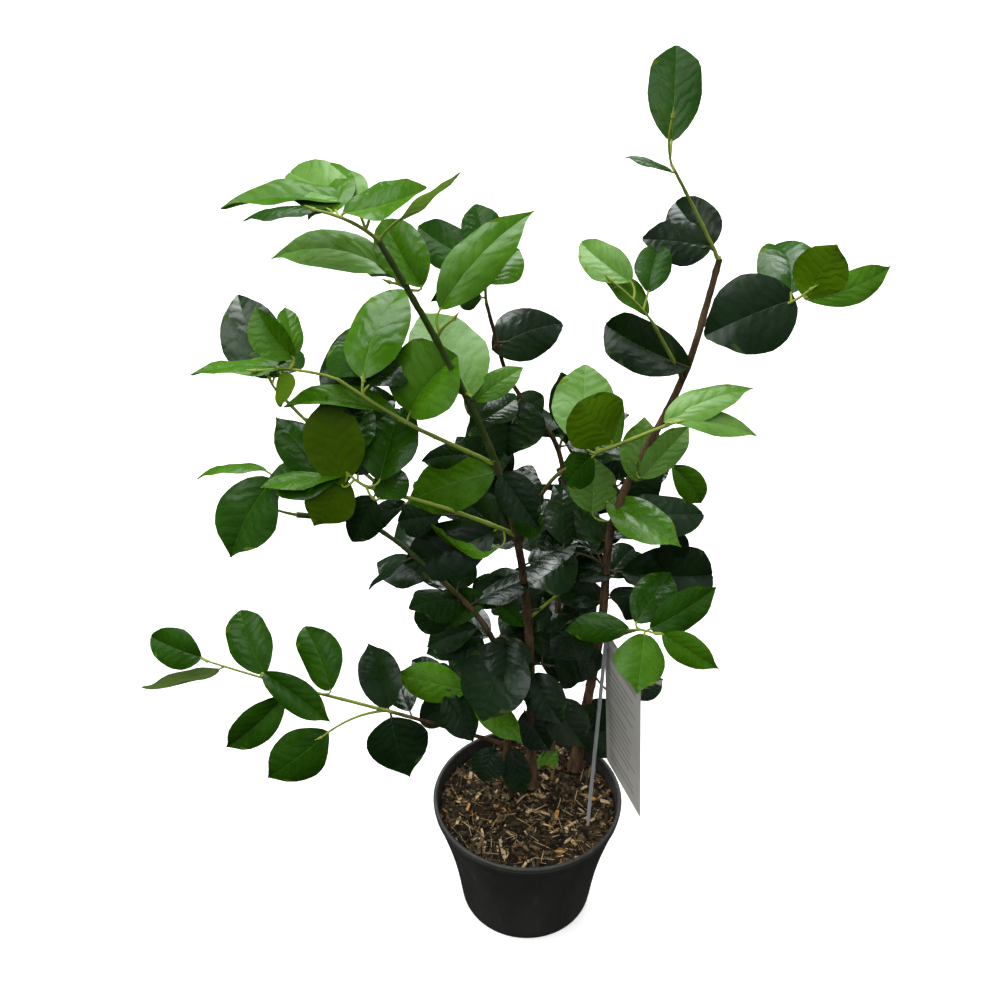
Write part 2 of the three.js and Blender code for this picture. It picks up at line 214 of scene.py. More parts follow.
def growWith(source, tree, values, name):  # runs a geometry tree on a mesh and keeps what comes out
    modifier = source.modifiers.new(tree.name, "NODES")
    modifier.node_group = tree
    sockets = {item.name: item.identifier for item in tree.interface.items_tree if item.in_out == "INPUT"}
    for label, value in values.items():
        modifier[sockets[label]] = value
    evaluated = source.evaluated_get(bpy.context.evaluated_depsgraph_get())
    mesh = bpy.data.meshes.new_from_object(evaluated)
    mesh.name = name
    source.modifiers.remove(modifier)
    bpy.data.objects.remove(source)
    piece = bpy.data.objects.new(name, mesh)
    scene.collection.objects.link(piece)
    return piece


def direction(heading, rise):  # heading in degrees from +X towards +Y, rise above level
    turn = math.radians(heading)
    lift = math.radians(rise)
    return Vector((math.cos(turn) * math.cos(lift), math.sin(turn) * math.cos(lift), math.sin(lift)))


# Camera, light and stage

view = {"place": (-0.0276, -0.848, 1.055), "pitch": 33.4, "lens": 43.2, "sensor": 36}
camera = bpy.data.objects.new("camera", bpy.data.cameras.new("camera"))
scene.collection.objects.link(camera)
camera.location = view["place"]
camera.rotation_euler = (math.radians(90 - view["pitch"]), 0, 0)
camera.data.lens = view["lens"]
camera.data.sensor_width = view["sensor"]
scene.camera = camera

# The clock that the leaf plans use faces the front of the pot, a little from above.
clockFace = direction(-90, view["pitch"])
clockRight = Vector((1, 0, 0))
clockUp = clockFace.cross(clockRight)

studio = {
    "zenith": (0.14, 0.15, 0.16), "horizon": (0.025, 0.027, 0.028), "below": (0.015, 0.016, 0.014),
    "backdrop": (1.0, 1.0, 1.0), "aboveFade": (0.0, 1.0), "belowFade": (-0.4, 0.05),
    "floorSize": 30, "floorColor": (0.86, 0.86, 0.86), "floorRoughness": 0.9, "floorGlow": 0.42,
    "lamps": {  # name: (heading, rise, spread in degrees, strength, color, shows in gloss)
        "skylight": (95, 62, 84, 2.0, (1.0, 1.0, 0.99), False),
        "left": (-172, 36, 60, 1.3, (0.97, 0.99, 1.0), False),
        "front": (-95, 52, 60, 1.2, (1.0, 1.0, 0.97), False),
        "back": (92, 14, 70, 0.8, (1.0, 1.0, 0.99), False),
        "bounce": (90, -38, 70, 1.8, (1.0, 1.0, 0.97), False),
        "right": (5, 16, 70, 0.6, (1.0, 1.0, 0.99), False),
        "skyGlint": (95, 66, 46, 1.35, (0.97, 1.0, 1.0), True),
        "sunGlint": (80, 58, 20, 0.30, (1.0, 1.0, 1.0), True),
        "leftGlint": (-165, 58, 26, 0.22, (0.97, 0.99, 1.0), True),
        "frontGlint": (-118, 62, 30, 0.13, (0.97, 1.0, 1.0), True),
    },
}


def makeSky(plan):  # lights from overhead more than from the horizon, and shows as a plain pale backdrop
    world = bpy.data.worlds.new("studioSky")
    world.use_nodes = True
    tree = world.node_tree
    height = axes(tree, read(tree, "ShaderNodeTexCoord", output="Generated"))[2]
    above = ramp(tree, height, *plan["aboveFade"], "LINEAR")
    under = ramp(tree, height, *plan["belowFade"], "LINEAR")
    upper = blend(tree, above, opaque(plan["horizon"]), opaque(plan["zenith"]))
    whole = blend(tree, under, opaque(plan["below"]), upper)
    seen = read(tree, "ShaderNodeLightPath", output="Is Camera Ray")
    plug(tree, blend(tree, seen, whole, opaque(plan["backdrop"])), tree.nodes["Background"].inputs["Color"])
    scene.world = world


def makeStudio(plan):
    scene.view_settings.view_transform = "Standard"
    makeSky(plan)
    for name, (heading, rise, spread, strength, color, shows) in plan["lamps"].items():
        lamp = bpy.data.objects.new(name, bpy.data.lights.new(name, "SUN"))
        lamp.data.angle = math.radians(spread)
        lamp.data.energy = strength
        lamp.data.color = color
        lamp.rotation_euler = direction(heading, rise).to_track_quat("Z", "Y").to_euler()
        lamp.visible_glossy = shows
        scene.collection.objects.link(lamp)
    half = plan["floorSize"] / 2
    corners = [(-half, -half, 0), (half, -half, 0), (half, half, 0), (-half, half, 0)]
    floor = makeMesh("floor", corners, [(0, 1, 2, 3)])
    floor.data.materials.append(startMaterial("floorPaint", {
        "Base Color": opaque(plan["floorColor"]), "Roughness": plan["floorRoughness"],
        "Emission Color": (1, 1, 1, 1), "Emission Strength": plan["floorGlow"],
    })[0])
    # the floor shows, and takes shadow, but the bounce lamp stands for the light that it throws up
    floor.visible_diffuse = False
    floor.visible_glossy = False
    floor.visible_shadow = False


makeStudio(studio)
print("stage set")


# Shared shader groups

mottlePlan = {"detail": 3.0, "roughness": 0.6, "edge": (0.35, 0.65), "grainScale": 9.0, "grainDetail": 2.0}
veinPlan = {
    "wanderScale": 5.0, "wanderDetail": 2.0, "line": (0.93, 1.0), "ribCore": 0.45, "fade": (0.42, 0.25),
}
dustPlan = {"slope": 0.6, "level": 0.4, "cloudDetail": 5.0, "edge": (0.42, 0.7)}


def makeMottleGroup(plan):  # two colours in soft patches, with a finer grain on top
    tree, given, result = startTree("mottle", "ShaderNodeTree", {
        "Ground": "Color", "Patch": "Color", "Scale": "Float", "Stretch": (1, 1, 1), "Amount": "Float",
        "Grain": "Float",
    }, {"Color": "Color", "Patches": "Float"})
    place = stretched(tree, objectPlace(tree), given["Stretch"])
    cloud = noise(tree, place, given["Scale"], plan["detail"], plan["roughness"])
    patches = ramp(tree, cloud, *plan["edge"])
    fine = noise(tree, place, given["Scale"] * plan["grainScale"], plan["grainDetail"])
    share = patches * given["Amount"] + (fine - 0.5) * given["Grain"]
    plug(tree, blend(tree, share, given["Ground"], given["Patch"]), result["Color"])
    plug(tree, patches, result["Patches"])
    return tree


def makeVeinGroup(plan):  # midrib and slanting side veins, on the blade's own map
    tree, given, result = startTree("leafVeins", "ShaderNodeTree", {
        "Count": "Float", "Slant": 0.9, "Bow": -0.9, "Wander": 0.22, "Rib": 0.011, "Slimming": -0.7,
    }, {"Veins": "Float", "Rib": "Float", "Quilt": "Float"})
    blade = read(tree, "ShaderNodeUVMap", uv_map="UVMap")
    side, along, _ = axes(tree, blade)
    across = (side - 0.5).math("ABSOLUTE")
    wander = (noise(tree, blade, plan["wanderScale"], plan["wanderDetail"]) - 0.5) * given["Wander"]
    bowed = across * across * given["Bow"] + across * given["Slant"]
    swing = ((along - bowed + wander) * given["Count"] * math.tau).math("COSINE")
    ribEdge = given["Rib"] * (along * given["Slimming"] + 1.0)  # the midrib narrows towards the tip
    fade = ramp(tree, across, *plan["fade"], "LINEAR")  # the side veins die out before the margin
    plug(tree, ramp(tree, swing, *plan["line"]) * fade, result["Veins"])
    plug(tree, ramp(tree, across, ribEdge, ribEdge * plan["ribCore"]), result["Rib"])
    plug(tree, swing * 0.5 + 0.5, result["Quilt"])
    return tree


def makeDustGroup(plan):  # what gathers on surfaces that face up, in soft clouds
    tree, given, result = startTree("dust", "ShaderNodeTree", {
        "Color": "Color", "Dust": "Color", "Amount": "Float", "Scale": "Float",
    }, {"Color": "Color"})
    upward = axes(tree, read(tree, "ShaderNodeNewGeometry", output="Normal"))[2]
    upward = (upward * plan["slope"] + plan["level"]).math("MAXIMUM", 0.0)
    cloud = noise(tree, objectPlace(tree), given["Scale"], plan["cloudDetail"])
    mask = ramp(tree, cloud, *plan["edge"], "LINEAR") * upward * given["Amount"]
    plug(tree, blend(tree, mask, given["Color"], given["Dust"]), result["Color"])
    return tree


mottle = makeMottleGroup(mottlePlan)
leafVeins = makeVeinGroup(veinPlan)
dust = makeDustGroup(dustPlan)


def mottled(tree, ground, patch, **values):
    return placeGroup(tree, mottle, Ground=opaque(ground), Patch=opaque(patch), **values)


def makePlainFinish(name, ground, patch, gloss, scale, grain=0.3, bump=0.0004):
    material, tree, shader = startMaterial(name, {"Roughness": gloss})
    skin = mottled(tree, ground, patch, Scale=scale, Amount=0.9, Grain=grain)
    plug(tree, skin["Color"], shader.inputs["Base Color"])
    addBump(tree, shader, skin["Patches"], bump, 0.6)
    return material


# Leaf finishes

toneFields = ("upper", "patch", "under", "rib", "gloss", "sheen", "coat", "veins", "slot")
leafTones = {  # upper and under are the grounds, patch a lighter cloud on the upper face
    "deep": ((0.0030, 0.0142, 0.0014), (0.0060, 0.0255, 0.0034), (0.028, 0.050, 0.010), (0.020, 0.050, 0.018),
             0.29, 0.82, 0.4, 0.12, "leaf_old"),
    "dark": ((0.0048, 0.022, 0.0016), (0.0085, 0.037, 0.0024), (0.036, 0.066, 0.007), (0.030, 0.085, 0.012),
             0.27, 0.75, 0.35, 0.14, "leaf_old"),
    "mid": ((0.013, 0.058, 0.0008), (0.023, 0.088, 0.0015), (0.056, 0.115, 0.0008), (0.070, 0.180, 0.012),
            0.24, 0.45, 0.2, 0.16, "leaf_grown"),
    "bright": ((0.045, 0.150, 0.0012), (0.072, 0.205, 0.004), (0.080, 0.175, 0.001), (0.150, 0.330, 0.030),
               0.26, 0.45, 0.2, 0.20, "leaf_young"),
    # pale is the light green of young leaves, and on a few leaves also a painted sheen, given in place of
    # turning them to the glint
    "pale": ((0.100, 0.240, 0.026), (0.145, 0.310, 0.055), (0.110, 0.190, 0.004), (0.260, 0.470, 0.100),
             0.30, 0.45, 0.2, 0.24, "leaf_young"),
}
leafTones = {tone: dict(zip(toneFields, row)) for tone, row in leafTones.items()}
underside = {"gloss": 0.52, "veins": 0.3, "sheen": 0.2, "coat": 0.0}  # the same for every tone
undersidePatch = 1.3
bladeSkin = {
    "coatRoughness": 0.16, "patchScale": 30.0, "patchAmount": 0.8, "grain": 0.3, "veinCount": 7.0,
    "ribShare": 0.85, "leatherScale": 260.0, "swellScale": 55.0,
    "dull": {"patches": 0.08, "leather": 0.12, "all": -0.1},  # what each adds to the gloss figure
    "relief": {"quilt": -0.13, "swell": 0.8, "leather": 0.05, "rib": -0.3}, "depth": 0.0022, "strength": 0.8,
}


def makeBladeFinish(name, look, plan):
    material, tree, shader = startMaterial(name, {
        "Roughness": look["gloss"], "Specular IOR Level": look["sheen"], "Coat Weight": look["coat"],
        "Coat Roughness": plan["coatRoughness"],
    })
    skin = mottled(tree, look["upper"], look["patch"], Scale=plan["patchScale"], Amount=plan["patchAmount"],
                   Grain=plan["grain"])
    lines = placeGroup(tree, leafVeins, Count=plan["veinCount"])
    veined = blend(tree, lines["Veins"] * look["veins"], skin["Color"], opaque(look["rib"]))
    ribbed = blend(tree, lines["Rib"] * plan["ribShare"], veined, opaque(look["rib"]))
    plug(tree, ribbed, shader.inputs["Base Color"])
    leather = noise(tree, objectPlace(tree), plan["leatherScale"], 3.0)
    swell = noise(tree, objectPlace(tree), plan["swellScale"], 1.0)
    dull, relief = plan["dull"], plan["relief"]
    rough = skin["Patches"] * dull["patches"] + leather * dull["leather"] + (look["gloss"] + dull["all"])
    plug(tree, rough, shader.inputs["Roughness"])
    height = lines["Quilt"] * relief["quilt"] + swell * relief["swell"] + leather * relief["leather"]
    addBump(tree, shader, height + lines["Rib"] * relief["rib"], plan["depth"], plan["strength"])
    return material


leafFinishes = {}
for tone, look in leafTones.items():
    patch = tuple(c * undersidePatch for c in look["under"])
    turned = {**look, **underside, "upper": look["under"], "patch": patch}
    leafFinishes[tone] = {
        "Upper": makeBladeFinish(tone + "LeafUpper", look, bladeSkin),
        "Under": makeBladeFinish(tone + "LeafUnder", turned, bladeSkin),
    }


# Limbs: centre lines are read off the solids of the frame

limbParents = {
    "stem_left": None, "stem_right": None, "stem_back": None, "stem_mid": None,
    "bough_low_left": "stem_mid", "bough_left_mid": "stem_left", "bough_left_back": "bough_left_mid",
    "bough_left_upper": "stem_left", "bough_cross": "stem_left", "bough_right_low": "stem_right",
    "bough_upper_left": "stem_right", "bough_upper_right": "stem_right", "bough_rear_left": "stem_back",
    "bough_rear_right": "stem_right", "shoot_top": "stem_right",
}
routePlan = {"stations": 15, "inset": 0.01, "collar": 1.25, "joinGirth": 1.1, "steps": 5}


def nodeTriangles(name):
    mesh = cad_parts[name].data
    mesh.calc_loop_triangles()
    points = np.array([v.co[:] for v in mesh.vertices])
    return points[np.array([t.vertices[:] for t in mesh.loop_triangles])]


def sliceRoute(name, plan):  # slices a limb's solid across its length: rows of x, y, z and radius
    triangles = nodeTriangles(name)
    points = triangles.reshape(-1, 3)
    middle = points.mean(0)
    run = np.linalg.svd(points - middle, full_matrices=False)[2][0]
    along = (points - middle) @ run
    low, high = along.min(), along.max()
    rows = []
    for station in range(plan["stations"]):
        share = plan["inset"] + (1 - 2 * plan["inset"]) * station / (plan["stations"] - 1)
        height = (triangles - middle) @ run - (low + (high - low) * share)
        cuts = []
        for a, b in ((0, 1), (1, 2), (2, 0)):
            crossing = height[:, a] * height[:, b] < 0
            part = (height[crossing, a] / (height[crossing, a] - height[crossing, b]))[:, None]
            cuts.append(triangles[crossing, a] * (1 - part) + triangles[crossing, b] * part)
        cuts = np.vstack(cuts)
        centre = cuts.mean(0)
        rows.append([*centre, np.linalg.norm(cuts - centre, axis=1).mean()])
    return np.array(rows)


def smoothRoute(rows, steps):  # a Catmull-Rom curve through the rows
    padded = np.vstack([2 * rows[0] - rows[1], rows, 2 * rows[-1] - rows[-2]])
    out = []
    for k in range(1, len(padded) - 2):
        p0, p1, p2, p3 = padded[k - 1:k + 3]
        for t in np.linspace(0, 1, steps, endpoint=False):
            out.append(0.5 * (2 * p1 + (p2 - p0) * t + (2 * p0 - 5 * p1 + 4 * p2 - p3) * t * t
                              + (3 * p1 - p0 - 3 * p2 + p3) * t ** 3))
    return np.vstack([out, rows[-1]])


def pointAt(rows, share):  # x, y, z and radius at a share of a route's length
    reach = np.r_[0, np.cumsum(np.linalg.norm(np.diff(rows[:, :3], axis=0), axis=1))]
    return np.array([np.interp(share * reach[-1], reach, rows[:, k]) for k in range(4)])


def spotAt(rows, share):
    return Vector(pointAt(rows, share)[:3])


def tangentAt(rows, share):
    ahead = pointAt(rows, min(1, share + 0.03))
    behind = pointAt(rows, max(0, share - 0.03))
    return Vector((ahead - behind)[:3]).normalized()


def nearestRow(rows, point):
    return rows[np.argmin(np.linalg.norm(rows[:, :3] - point[:3], axis=1))]


def readRoute(limb, parent, plan):  # from the foot, or from where it leaves its parent, to the tip
    rows = sliceRoute(limb, plan)
    if parent is None:
        isReversed = rows[0, 2] > rows[-1, 2]
    else:
        gaps = [np.linalg.norm(nearestRow(routes[parent], rows[end]) - rows[end]) for end in (0, -1)]
        isReversed = gaps[1] < gaps[0]
    if isReversed:
        rows = rows[::-1]
    if parent:
        rows[0, 3] = rows[1, 3] * plan["collar"]
        join = nearestRow(routes[parent], rows[0]).copy()
        join[3] = rows[0, 3] * plan["joinGirth"]
        rows = np.vstack([join, rows])
    return smoothRoute(rows, plan["steps"])


routes = {}
for limb, parent in limbParents.items():
    routes[limb] = readRoute(limb, parent, routePlan)
print("limbs read:", len(routes))


def makeTubeTree():  # a tube along each line, with swellings at its nodes and relief on its skin
    tree, given, result = startTree("limbTube", "GeometryNodeTree", {
        "Lines": "Geometry", "Step": "Float", "Sides": "Int", "Relief": "Float", "Relief Scale": "Float",
        "Relief Stretch": "Float", "Node Spacing": "Float", "Node Swell": "Float", "Node Sharpness": 8.0,
        "Skin": "Material",
    }, {"Tube": "Geometry"})
    curve = read(tree, "GeometryNodeMeshToCurve", {"Mesh": given["Lines"]})
    evened = read(tree, "GeometryNodeResampleCurve", {"Curve": curve, "Length": given["Step"]}, mode="LENGTH")
    phase = read(tree, "GeometryNodeSplineParameter", output="Length") / given["Node Spacing"]
    swell = (phase.math("FRACT") - 0.5).math("ABSOLUTE") * 2.0
    swell = swell.math("POWER", given["Node Sharpness"]) * given["Node Swell"] + 1.0
    ring = read(tree, "GeometryNodeCurvePrimitiveCircle", {"Resolution": given["Sides"], "Radius": 1.0})
    tube = read(tree, "GeometryNodeCurveToMesh", {
        "Curve": evened, "Profile Curve": ring, "Scale": named(tree, "girth") * swell, "Fill Caps": True,
    })
    squash = read(tree, "ShaderNodeCombineXYZ", {"X": 1.0, "Y": 1.0, "Z": given["Relief Stretch"]})
    place = stretched(tree, read(tree, "GeometryNodeInputPosition"), squash)
    lift = (noise(tree, place, given["Relief Scale"], 3.0, 0.6) - 0.5) * given["Relief"]
    outward = read(tree, "GeometryNodeInputNormal", isVector=True) * lift
    shaped = read(tree, "GeometryNodeSetPosition", {"Geometry": tube, "Offset": outward})
    smooth = read(tree, "GeometryNodeSetShadeSmooth", {"Geometry": shaped, "Shade Smooth": True})
    single = read(tree, "GeometryNodeRealizeInstances", {"Geometry": smooth})
    plug(tree, painted(tree, single, given["Skin"]), result["Tube"])
    return tree


limbTube = makeTubeTree()


def makeTubes(name, lines, skin, sizes):  # each line is rows of x, y, z, radius and age
    points, edges, girths, ages = [], [], [], []
    for rows in lines:
        start = len(points)
        points += [row[:3] for row in rows]
        girths += [row[3] for row in rows]
        ages += [row[4] for row in rows]
        edges += [(start + k, start + k + 1) for k in range(len(rows) - 1)]
    source = makeMesh(name + "Lines", points, edges=edges)
    setAttribute(source, "girth", girths)
    setAttribute(source, "age", ages)
    return growWith(source, limbTube, {"Skin": skin, **sizes}, name)


bark = {
    "young": {"Scale": 90.0, "Stretch": (1, 1, 0.3), "Amount": 0.8, "Grain": 0.3},
    "old": {"Scale": 120.0, "Stretch": (1, 1, 0.18), "Amount": 0.8, "Grain": 0.9},
    "paler": 0.05, "cloudScale": 70.0, "cloudAmount": 0.5, "turn": (0.35, 0.65), "depth": 0.0015,
    "strength": 0.9,
}


def makeBark(name, young, old, crack, gloss):
    material, tree, shader = startMaterial(name, {"Roughness": gloss})
    paler = tuple(c + (1 - c) * bark["paler"] for c in young)
    skin = mottled(tree, young, paler, **bark["young"])
    rind = mottled(tree, old, crack, **bark["old"])
    cloud = noise(tree, objectPlace(tree), bark["cloudScale"], 3.0)
    age = read(tree, "ShaderNodeAttribute", output="Fac", attribute_name="age")
    turn = ramp(tree, age + (cloud - 0.5) * bark["cloudAmount"], *bark["turn"])
    plug(tree, blend(tree, turn, skin["Color"], rind["Color"]), shader.inputs["Base Color"])
    addBump(tree, shader, rind["Patches"] * turn, bark["depth"], bark["strength"])
    return material


limbKinds = {
    "stems": {
        "isStem": True, "slot": "bark",
        "wood": ("stemBark", (0.060, 0.105, 0.014), (0.215, 0.132, 0.072), (0.042, 0.025, 0.014), 0.62),
        "sizes": {"Step": 0.0025, "Sides": 14, "Relief": 0.0011, "Relief Scale": 340.0, "Relief Stretch": 0.2,
                  "Node Spacing": 0.041, "Node Swell": 0.14},
    },
    "boughs": {
        "isStem": False, "slot": "green_wood",
        "wood": ("greenBark", (0.290, 0.390, 0.050), (0.190, 0.105, 0.060), (0.060, 0.033, 0.020), 0.5),
        "sizes": {"Step": 0.0025, "Sides": 10, "Relief": 0.0004, "Relief Scale": 420.0, "Relief Stretch": 0.3,
                  "Node Spacing": 0.033, "Node Swell": 0.22},
    },
}
limbAges = {  # age at the foot and at the tip: 1 is brown bark, 0 is green skin
    "stem_left": (1.48, -0.1), "stem_right": (1.3, 0.9), "stem_back": (1.2, 0.6), "stem_mid": (1.2, 0.2),
    "bough_low_left": (1.3, 0.1), "bough_left_mid": (0.3, 0.1), "bough_left_back": (0.5, 0.2),
    "bough_left_upper": (0.25, 0.1), "bough_cross": (0.7, 0.3), "bough_right_low": (0.9, 0.1),
    "bough_upper_left": (0.6, 0.0), "bough_upper_right": (0.9, 0.3), "bough_rear_left": (0.9, 0.3),
    "bough_rear_right": (0.9, 0.3), "shoot_top": (0.35, 0.0),
}


def makeLimbs():
    for name, kind in limbKinds.items():
        limbs = [limb for limb, parent in limbParents.items() if (parent is None) == kind["isStem"]]
        lines = []
        for limb in limbs:
            rows = routes[limb]
            lines.append(np.column_stack([rows, np.linspace(*limbAges[limb], len(rows))]))
        piece = makeTubes(name, lines, makeBark(*kind["wood"]), kind["sizes"])
        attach(piece, "root")
        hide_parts(*limbs)


makeLimbs()
print("limbs made")


# The leaf's own shape, used again and again

leafPlan = {
    "bands": 8, "foot": 0.06, "rise": 0.75, "lean": 0.9, "tipStart": 0.72, "tipSlim": 0.7, "thickness": 0.014,
    "tooth": 0.0025,
}


def halfBreadth(share, plan):  # half the breadth at a share of the length, drawn in to a short point
    if share in (0, 1):
        return 0
    near = max(0, (share - plan["tipStart"]) / (1 - plan["tipStart"]))
    point = 1 - plan["tipSlim"] * near * near * (3 - 2 * near)
    return 0.5 * math.sin(math.pi * share ** plan["lean"]) ** plan["rise"] * point


def makeLeafPattern(plan):  # a closed blade of unit length and breadth, with two points of margin to a band
    points, faces, parts = [], [], []
    steps = plan["bands"] * 2
    turns = [0] + [plan["foot"] + (1 - plan["foot"]) * k / steps for k in range(1, steps + 1)]
    left, right, spine, inLeft, inRight, keel = lines = [[] for _ in range(6)]

    def place(share, side, depth=0.0):
        points.append((share, side, depth))
        return len(points) - 1

    for k, turn in enumerate(turns):
        share = 0.5 - 0.5 * math.cos(math.pi * turn)
        half = halfBreadth(share, plan)
        if half == 0:
            end = place(share, 0)
            for line in lines:
                line.append(end)
            continue
        margin = half + plan["tooth"] * (1 if k % 2 else -1)
        left.append(place(share, -margin))
        right.append(place(share, margin))
        if k % 2 == 0:
            inLeft.append(place(share, -half / 2))
            spine.append(place(share, 0))
            inRight.append(place(share, half / 2))
            keel.append(place(share, 0, -plan["thickness"]))
    for k in range(plan["bands"]):
        m = 2 * k
        rings = [
            (0, [spine[k], spine[k + 1], inRight[k + 1], inRight[k]]),
            (0, [inLeft[k], inLeft[k + 1], spine[k + 1], spine[k]]),
            (0, [inRight[k], inRight[k + 1], right[m + 2], right[m + 1], right[m]]),
            (0, [left[m], left[m + 1], left[m + 2], inLeft[k + 1], inLeft[k]]),
            (1, [right[m], right[m + 1], right[m + 2], keel[k + 1], keel[k]]),
            (1, [keel[k], keel[k + 1], left[m + 2], left[m + 1], left[m]]),
        ]
        for part, ring in rings:
            corners = list(dict.fromkeys(ring))
            if len(corners) > 2:
                faces.append(corners)
                parts.append(part)
    leaf = makeMesh("leafPattern", points, faces)
    layer = leaf.data.uv_layers.new(name="UVMap")
    for loop in leaf.data.loops:
        share, side, _ = points[loop.vertex_index]
        layer.data[loop.index].uv = (0.5 + side, share)
    leaf.data.attributes.new("part", "INT", "FACE").data.foreach_set("value", parts)
    setAttribute(leaf, "blade", points, "FLOAT_VECTOR")
    creases = {tuple(sorted(edge)) for line in (left, right, spine) for edge in zip(line, line[1:])}
    sharp = leaf.data.attributes.new("sharp_edge", "BOOLEAN", "EDGE")
    sharp.data.foreach_set("value", [tuple(sorted(e.vertices)) in creases for e in leaf.data.edges])
    return leaf


def makeLeafTree():  # sets the pattern on every point, then bends each copy by its point's own figures
    tree, given, result = startTree("leafSpray", "GeometryNodeTree", {
        "Buds": "Geometry", "Pattern": "Object", "Upper": "Material", "Under": "Material",
        "Waves": 11.0, "Wave Skew": 3.0, "Blunt Gain": 3.6, "Blunt Power": 10.0,
    }, {"Leaves": "Geometry"})
    pattern = read(tree, "GeometryNodeObjectInfo", {"Object": given["Pattern"]}, "Geometry")
    copies = read(tree, "GeometryNodeInstanceOnPoints", {"Points": given["Buds"], "Instance": pattern})
    single = read(tree, "GeometryNodeRealizeInstances", {"Geometry": copies})

    def figure(name):
        return named(tree, name)

    def arrow(name):
        return named(tree, name, "FLOAT_VECTOR")

    along, side, depth = axes(tree, arrow("blade"))
    along = along + along * (along * -1.0 + 1.0) * figure("belly")
    fold, droop = figure("fold"), figure("droop")
    # a blunt leaf is fuller just short of its tip
    fuller = along.math("POWER", given["Blunt Power"]) * figure("blunt") * given["Blunt Gain"]
    across = side * figure("wide") * (fuller + 1.0)
    reach = across.math("ABSOLUTE")
    share = side.math("ABSOLUTE") * 2.0
    # the two halves rise at the fold, then their margins turn down by the curl and waver
    opened = across * fold.math("COSINE")
    raised = reach * fold.math("SINE") - reach * share * figure("curl")
    ripple = along * given["Waves"] + figure("phase") + side * given["Wave Skew"]
    ripple = ripple.math("SINE") * figure("wave")
    raised = raised + ripple * share * share + depth
    turn = along * figure("twist")
    swung = opened * turn.math("COSINE") - raised * turn.math("SINE")
    lifted = opened * turn.math("SINE") + raised * turn.math("COSINE")
    swung = swung + along * (along * -1.0 + 1.0) * figure("bow")
    # the midrib is an arc that turns away from the upper face by the droop
    bend = along * droop
    forward = bend.math("SINE") / droop + lifted * bend.math("SINE")
    upward = (bend.math("COSINE") - 1.0) / droop + lifted * bend.math("COSINE")
    place = arrow("root")
    for way, length in (("aim", forward), ("side", swung), ("face", upward)):
        place = place + arrow(way) * (length * figure("size"))
    geometry = read(tree, "GeometryNodeSetPosition", {"Geometry": single, "Position": place})
    part = named(tree, "part", "INT")
    for number, finish in enumerate(("Upper", "Under")):
        isPart = read(tree, "FunctionNodeCompare", {2: part, 3: number}, data_type="INT", operation="EQUAL")
        geometry = painted(tree, geometry, given[finish], isPart)
    smooth = read(tree, "GeometryNodeSetShadeSmooth", {"Geometry": geometry, "Shade Smooth": True})
    plug(tree, smooth, result["Leaves"])
    return tree


# How the leaves stand on each spray
#
# A leaf is written as its hour on the clock face, its length in millimetres and its tone, then what
# differs from a plain leaf: at.5 share of the shoot, s8 stalk length and h3 the stalk's own hour,
# n20 tip nearer by 20 degrees, r30 rolled about its midrib, u underside out, w60 breadth in percent of
# the length, f20 folded up, d30 drooping, c30 margins turned down, t20 twisted towards the tip, b60 blunt,
# y10 bowed sideways.

toneLetters = {"x": "deep", "k": "dark", "m": "mid", "b": "bright", "p": "pale"}
leafDefaults = {"at": 1, "s": 6, "n": 0, "r": 0, "w": 60, "f": 28, "d": 30, "c": 58, "t": 0, "u": 0}

